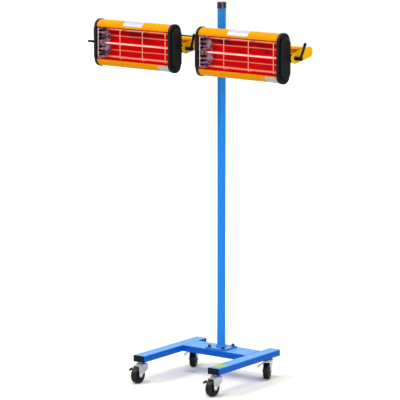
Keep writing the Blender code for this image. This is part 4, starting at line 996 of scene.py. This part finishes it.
def makeCap(p, sign):
    # a moulded end with a recessed face, a raised pad, the pivot's lug and a pocket inside
    y, out = p["middleY"], p["padOut"]

    def across(name, outline, low, high):
        return drawn(name, outline, "X", sign * low, sign * high)

    pan = across("pan", racetrack(p["capDepth"], p["capHeight"], y), p["capIn"], p["capOut"])
    pressed(pan, "X", sign, (0.0016, 0.0006), (0.0050, 0), (0.0011, -0.0016))
    pan = eased(pan, 0.0030, 5, 50)
    pad = across("pad", racetrack(p["padDepth"], p["padHeight"], y), p["capOut"] - 0.003, out)
    lug = across("lug", stadium((y, 0), (0, 0), p["lugRadius"], 20), p["lugEnd"], out - 0.0003)
    inside = racetrack(2 * p["curlRadius"] + 0.0006, p["pocketHeight"], y)
    pocket = across("pocket", inside, p["capIn"] - 0.002, p["capFloor"])
    cap = carve(pan, "UNION", eased(pad, 0.0026, 5, 50), eased(lug, 0.0010, 3, 50))
    return shaded(carve(cap, "DIFFERENCE", pocket, pinHole(sign, 0.2, 0.23)))


def troughFace(p):
    # the mirror's folds from top to bottom: (depth, height)
    half = [(0, p["sideZ"]), (p["cornerDepth"], p["cornerZ"]), (p["flatDepth"], p["flatZ"])]
    return [*half, (p["ridgeDepth"], 0), *[(depth, -z) for depth, z in reversed(half)]]


def makeTrough(p):
    face = [(0, p["flangeZ"]), *troughFace(p), (0, -p["flangeZ"])]
    back = []
    for index, point in enumerate(face):
        here, before = Vector(point), Vector(face[max(index - 1, 0)])
        after = Vector(face[min(index + 1, len(face) - 1)])
        runs = [run.normalized() for run in (here - before, after - here) if run.length > 0]
        across = [Vector((-run.y, run.x)) for run in runs]
        mitre = sum(across, Vector((0, 0))).normalized()
        back.append(tuple(here + mitre * p["sheet"] / mitre.dot(across[0])))
    outline = [(p["front"] + depth, z) for depth, z in face + back[::-1]]
    end = p["capIn"] + 0.0005
    trough = drawn("trough", outline, "X", -end, end)
    for sign in (-1, 1):
        openMesh(trough)
        bpy.ops.mesh.bisect(
            plane_co=(sign * end, p["front"], 0), use_fill=True, clear_outer=True,
            plane_no=Vector((sign, p["lean"], 0)).normalized(),
        )
        closeMesh()
    return eased(facesOutward(trough), 0.0012, 3, 12, 20)


def makeEnd(p, sign):
    # an end plate drawn upright, slotted, then leaned back about its front edge
    stretch = math.hypot(1, p["lean"])
    start, front, slots = sign * p["capIn"], p["front"], []
    outline = [(front + depth * stretch, z * p["endFit"]) for depth, z in troughFace(p)]
    plate = drawn("endPlate", outline, "X", start, start + sign * p["sheet"])
    through = (sign * 0.19, sign * 0.22)
    y = front + (p["slotInset"] + p["slotReach"] / 2) * stretch
    for index in range(p["slots"]):
        z = (index - (p["slots"] - 1) / 2) * p["slotPitch"]
        slot = roundedBox(p["slotReach"] * stretch, p["slotHeight"], p["slotCorner"], (y, z))
        slots.append(drawn("slot", slot, "X", *through))
    centre = (front + p["holeDepth"] * stretch, 0)
    hole = arc(centre, p["holeRadius"], 0, math.tau, 32)[:-1]
    hole = drawn("hole", hole, "X", *through)
    plate = shaded(carve(plate, "DIFFERENCE", joined("slots", *slots), hole), 30)
    pivot = shifted(start, front, 0)
    lean = Matrix.Rotation(sign * math.atan(p["lean"]), 4, "Z")
    return settle(plate, pivot @ lean @ pivot.inverted())


def makeTube(p):
    steps = rod(p["tubeRadius"], -p["tubeHalf"], p["tubeHalf"], 0.0006)
    return shaded(lathed("tube", steps, "X", (0, p["middleY"], 0), 40))


def makeSockets(p):
    low, radius, y = p["socketIn"], p["socketRadius"], p["middleY"]
    steps = stepped(low, (5.3, 10), (5.3, 0.4), (5.8, 0))
    steps += stepped(low, (-1, 0), (0, 1), core=radius) + [(radius, p["socketEnd"])]
    sockets = [otherHand(lathed("socket", steps, "X", (0, y, 0), 40), sign, y)
               for sign in (-1, 1)]
    return joined("sockets", *[shaded(socket) for socket in sockets])


def makeWires(p):
    # each wire crosses the window and hooks behind its edges, as deep as the end plates leave
    pieces = []
    y, z, bend, radius = p["wireY"], p["wireZ"], p["wireBend"], p["wireRadius"]
    for x in p["wireX"]:
        room = (p["capIn"] - abs(x) - radius) / p["lean"]
        end = p["front"] + min(p["wireHook"], room) - 0.0003
        upper = arc((y + bend, z - bend), bend, math.pi, quarter, 6) + [(end, z)]
        path = [(a, -b) for a, b in reversed(upper)] + upper
        pieces.append(wire("guardWire", [(x, a, b) for a, b in path], radius))
    return pieces


def makeLever(s, turn):
    end, tip = s["start"] + s["length"], s["reach"]
    steps = stepped(s["start"], (6.0, 0), (7.5, 1.5), (7.5, 10), (6.8, 10.8))
    steps += stepped(end, (6.8, -13), (7.5, -12), (7.5, -1.8), (6.8, -0.6), (5.2, 0))
    hub = shaded(lathed("hub", steps, "X"), 35)
    steps = stepped(0, (5.4, 0), (5.0, 12), (4.6, 30)) + stepped(
        tip, (5.0, -14), (5.4, -8), (5.4, -4.2), (4.752, -2), (3.24, -0.6), (1.35, 0))
    seat = shifted(end - 0.0069, 0, 0) @ Matrix.Rotation(math.radians(s["lean"]), 4, "Y")
    arm = settle(shaded(lathed("arm", steps, sides=40)), seat)
    steps = stepped(end, (3, -0.4), (3, 0.4), (1.2, 0.5))
    screw = shaded(lathed("screw", steps, "X", sides=6), 20)
    return settle(joined("lever", hub, arm, screw), Matrix.Rotation(math.radians(turn), 4, "X"))


def makePivotBolt():
    steps = stepped(lever["start"], (7.5, 0), (7.5, 2.6), (7.0, 4.0), (5.5, 5.0), (3.4, 5.5),
                       (2.8, 5.5), (2.8, 3.2))
    return otherHand(shaded(lathed("pivot", steps, "X", sides=40), 35), -1)


def makeBox(b):
    back, plan = b["back"], roundedBox(b["width"], b["height"], b["corner"])
    base = eased(drawn("box", plan, "Y", b["front"], back - 0.007), 0.0012, 3, 50)
    lid = eased(drawn("lid", plan, "Y", back - 0.0065, back), 0.0020, 4, 50)
    width, height, x = b["switchWidth"], b["switchHeight"], b["switchX"]
    bezel = drawn("bezel", roundedBox(width, height, b["bezel"], (x, 0)), "Y", back - 0.001,
                  back + 0.0015)
    wide, tall = width / 2 - b["bezel"], height / 2 - b["bezel"]
    well = block("well", (x - wide, -0.004, -tall), (x + wide, back + 0.01, tall))
    body = carve(base, "UNION", lid, eased(bezel, 0.0006, 2, 50))
    body = shaded(carve(body, "DIFFERENCE", well), 35)
    steps = stepped(back, (2.4, -0.2), (2.4, 0.4), (1.8, 0.7), (0.8, 0.7))
    screws = [
        shaded(lathed("screw", steps, "Y", (x * b["screwX"], 0, z * b["screwZ"]), 24), 35)
        for x in (-1, 1) for z in (-1, 1)
    ]
    return body, joined("boxScrews", *screws)


def makeRocker(b):
    upper = [(0.0042, 0), (0.0056, 0.006), (0.0068, 0.012), (-0.004, 0.0072)]
    outline = [(y, -z) for y, z in reversed(upper)] + upper[1:]
    rocker = drawn("rocker", outline, "X", -b["rockerHalf"], b["rockerHalf"])
    tilt = Matrix.Rotation(math.radians(b["rockerTilt"]), 4, "X")
    return settle(eased(rocker, 0.0007, 3, 50), shifted(b["switchX"], b["rockerY"], 0) @ tilt)


def makeGland(length, spot):
    # nut, washer and ribbed boot, pointing toward -X
    steps = stepped(0, (6.4, 0), (6.4, 0.8), (7.5, 1.2), (7.5, 7), (6.8, 7.6), (6.8, 8.6),
                       (7.4, 9.2), (7.4, 11.2), (6.6, 12), (5.6, 12.4))
    ribs = max(3, int((length - 0.0135) / 0.0042))
    step = (length - 0.0135) / ribs
    for index in range(ribs):
        crest, start = 0.0053 - 0.0009 * index / ribs, 0.0130 + index * step
        root = crest * 0.86
        steps += [(crest, start), (crest, start + step * 0.62), (root, start + step * 0.66),
                     (root, start + step * 0.94)]
    steps += stepped(length, (4.3, -0.5), (2.7, 0), (2.7, -6))
    gland = shaded(lathed("gland", steps, "X", sides=32), 35)
    return settle(otherHand(gland, -1), shifted(*spot))


def makeBracket(b):
    # a lipped channel behind the lamp, between two cheeks
    f, r, low, high, w, lip = (b[key] for key in ("front", "back", "low", "high", "wall", "lip"))
    section = [
        (f, low + lip), (f, low), (r, low), (r, high), (f, high), (f, high - lip),
        (f + w, high - lip), (f + w, high - w), (r - w, high - w),
        (r - w, low + w), (f + w, low + w), (f + w, low + lip),
    ]
    parts = [eased(drawn("channel", section, "X", -b["half"], b["half"]), 0.0007, 3, 50)]
    outline = stadium((0, 0), (b["rearY"], b["rearZ"]), b["cheekRadius"], 24)
    for sign in (-1, 1):
        cheek = drawn("cheek", outline, "X", sign * b["cheekIn"], sign * b["cheekOut"])
        cheek = carve(cheek, "DIFFERENCE", pinHole(sign, 0.22, 0.232))
        parts.append(eased(cheek, 0.0006, 3, 50))
    return joined("bracket", *parts)


def makeBracketBolts(b):
    heads, spacers = [], []
    radius, z = b["spacerRadius"], b["rearZ"]
    for x in (-b["boltX"], b["boltX"]):
        steps = [(radius, b["back"]), (radius, b["spacerEnd"])]
        spacers.append(eased(lathed("spacer", steps, "Y", (x, 0, z), 40), 0.0005, 2))
        heads += [hexHead(x, z, low, low + 0.004) for low in b["heads"]]
    return joined("bracketSpacers", *spacers), joined("bracketBolts", *heads)


def makePlates(p):
    # bare plates that follow the housing's curls
    plates = []
    centre, radius = (p["middleY"], p["curlZ"]), p["curlRadius"]
    for up, start, end, low, high in p["plates"]:
        start, end = math.radians(start), math.radians(end)
        line = arc(centre, radius + 0.0005, start, end, 14)
        line += arc(centre, radius + 0.00005, end, start, 14)
        plate = drawn("plate", [(y, up * z) for y, z in line], "X", low, high)
        plates.append(shaded(plate, 30))
    return joined("barePlates", *plates)


def buildLamps(p):
    rows = []
    carriageBody = "boom_carriage"

    def add(piece, name, look, node=None, body="{}_lamp", only=sides):
        # the braces stand for the lamp's side
        rows.append((piece, name, look, [node] if node else [], body, only))

    add(makeHousing(p), "housing{}", "amber", "{}_housing")
    for side, sign in hands:
        add(makeCap(p, sign), "cap{}Lamp" + side.title(), "cap", "{}_lamp_" + side + "_cap")
    add(markSpot(makeTrough(p)), "reflector{}", "mirror", "{}_reflector")
    add(markSpot(joined("ends", makeEnd(p, -1), makeEnd(p, 1))), "reflectorEnds{}", "end")
    add(markSpot(makeTube(p)), "heaterTube{}", "quartz", "{}_heater_tube")
    add(makeSockets(p), "tubeSockets{}", "ceramic")
    for number, piece in enumerate(makeWires(p), 1):
        add(markSpot(piece), f"guardWire{{}}{number}", "chrome", f"{{}}_guard_wire_{number}")
    for side, lean in zip(sides, p["leverLeans"]):
        piece = makeLever(lever, lean)
        add(piece, "clampLever{}", "black", "{}_clamp_lever", "{}_lever", only=(side,))
    add(makePivotBolt(), "pivotBolt{}", "steel", "{}_pivot_bolt")
    case, screws = makeBox(box)
    add(case, "junctionBox{}", "black", "{}_junction_box")
    add(screws, "boxScrews{}", "zinc")
    add(makeRocker(box), "rocker{}", "black", "{}_rocker", "{}_switch")
    for side, gland in zip(sides, p["glands"]):
        add(makeGland(*gland), "cableGland{}", "black", "{}_cable_gland", only=(side,))
    add(makeBracket(bracket), "bracket{}", "yellow", "{}_bracket", carriageBody)
    spacers, bolts = makeBracketBolts(bracket)
    add(spacers, "bracketSpacers{}", "yellow", body=carriageBody)
    add(bolts, "bracketBolts{}", "steel", body=carriageBody)
    add(makePlates(p), "barePlates{}", "plate")
    print("lamp pieces made")
    for side in sides:
        at = turnedTo(f"{side}_lamp_tilt", spotOf(f"{side}_lamp_tilt"))
        for piece, name, look, nodes, body, only in rows:
            if side in only:
                twin = copied(piece, name.format(side.title()), at)
                dress(twin, look, body.format(side), *[node.format(side) for node in nodes])
    dropped(*[row[0] for row in rows])


buildLamps(lamp)
print("lamps built")

# floor, light and camera
studio = dict(
    floorSize=24.0, nearEnd=0.75, whiteStart=1.6, floorNear=(60, 59, 60),
    floorSeen=(1.15, 1.13, 1.03), floorMatt=(0.79, 0.80, 0.79), worldLevel=0.30,
    # each light's spot, size, power and the height that it aims at
    lights=dict(
        keyLight=((-3.0, -2.2, 4.8), 2.0, 135, 0.5),
        topLight=((0.1, 0.0, 5.0), 1.6, 85, 0.5),
        fillLight=((4.6, -3.0, 2.0), 3.2, 125, 0.9),
        backLight=((1.0, 4.2, 4.0), 3.0, 50, 0.8),
    ),
    azimuth=36.15, elevation=9.016, distance=8.38, lens=197.86, sensor=36.0,
    aimHeight=0.720, aimLeft=0.0818, aimDrop=0.0375,
)
white = (1, 1, 1, 1)


def buildFloor(s):
    clearSelection()
    bpy.ops.mesh.primitive_plane_add(size=s["floorSize"], location=(0, 0, 0))
    floor = settle(called("studioFloor"))
    paint = Paint("floorPaint")
    rays = paint.add("ShaderNodeLightPath", {}, "Is Camera Ray")
    # the floor turns white away from the stand, and keeps the stand's shadow near it
    distance = paint.add("ShaderNodeVectorMath", {0: paint.place()}, "Value", operation="LENGTH")
    away = paint.between(distance, s["nearEnd"], s["whiteStart"])
    shade = paint.blend(away, tint(*s["floorNear"]), white)
    shine = paint.add("ShaderNodeEmission", {"Color": shade, "Strength": 1.0})
    clear = paint.add("ShaderNodeEmission", {"Color": white, "Strength": 0.0})
    glow = paint.add("ShaderNodeMixShader", {0: rays, 1: clear, 2: shine})
    # the camera sees a paler floor than the one that lights the stand from below
    matt = paint.add("ShaderNodeBsdfDiffuse", {"Color": (*s["floorMatt"], 1)})
    seen = paint.add("ShaderNodeBsdfDiffuse", {"Color": (*s["floorSeen"], 1)})
    ground = paint.add("ShaderNodeMixShader", {0: rays, 1: matt, 2: seen})
    both = paint.add("ShaderNodeAddShader", {0: glow, 1: ground})
    paint.add("ShaderNodeOutputMaterial", {"Surface": both})
    floor.data.materials.append(paint.owner)


def buildWorld(s):
    # white to the camera and in gloss, and a low level of light on the object
    sky = Paint("studioWorld", "worlds")
    bpy.context.scene.world = sky.owner
    camera = sky.add("ShaderNodeLightPath", {}, "Is Camera Ray")
    seen = camera.maths("MAXIMUM", camera, camera.beside("Is Glossy Ray"))
    level = sky.add("ShaderNodeMapRange", {
        "Value": seen, "To Min": s["worldLevel"], "To Max": 1.0,
    })
    shine = sky.add("ShaderNodeBackground", {"Color": white, "Strength": level})
    sky.add("ShaderNodeOutputWorld", {"Surface": shine})


def held(name, content, spot, turn):
    holder = bpy.data.objects.new(name, content)
    bpy.context.scene.collection.objects.link(holder)
    holder.location = spot
    holder.rotation_euler = turn.to_track_quat("-Z", "Y").to_euler()
    return holder


def buildLights(s):
    for name, (spot, size, power, aim) in s["lights"].items():
        light = bpy.data.lights.new(name, "AREA")
        light.energy = power
        light.size = size
        held(name, light, spot, Vector((0, 0, aim)) - Vector(spot))


def buildCamera(s):
    turn, rise = math.radians(s["azimuth"]), math.radians(s["elevation"])
    level = math.cos(rise)
    right = Vector((math.cos(turn), math.sin(turn), 0))
    back = Vector((math.sin(turn) * level, -math.cos(turn) * level, math.sin(rise)))
    aim = mastSpot + Vector((0, 0, s["aimHeight"]))
    aim -= right * s["aimLeft"] + back.cross(right) * s["aimDrop"]
    view = bpy.data.cameras.new("photoView")
    view.lens = s["lens"]
    view.sensor_width = s["sensor"]
    view.clip_end = 100
    camera = held("photoView", view, aim + back * s["distance"], -back)
    bpy.context.scene.camera = camera


buildFloor(studio)
buildWorld(studio)
buildLights(studio)
buildCamera(studio)
bpy.context.scene.view_settings.view_transform = "Standard"
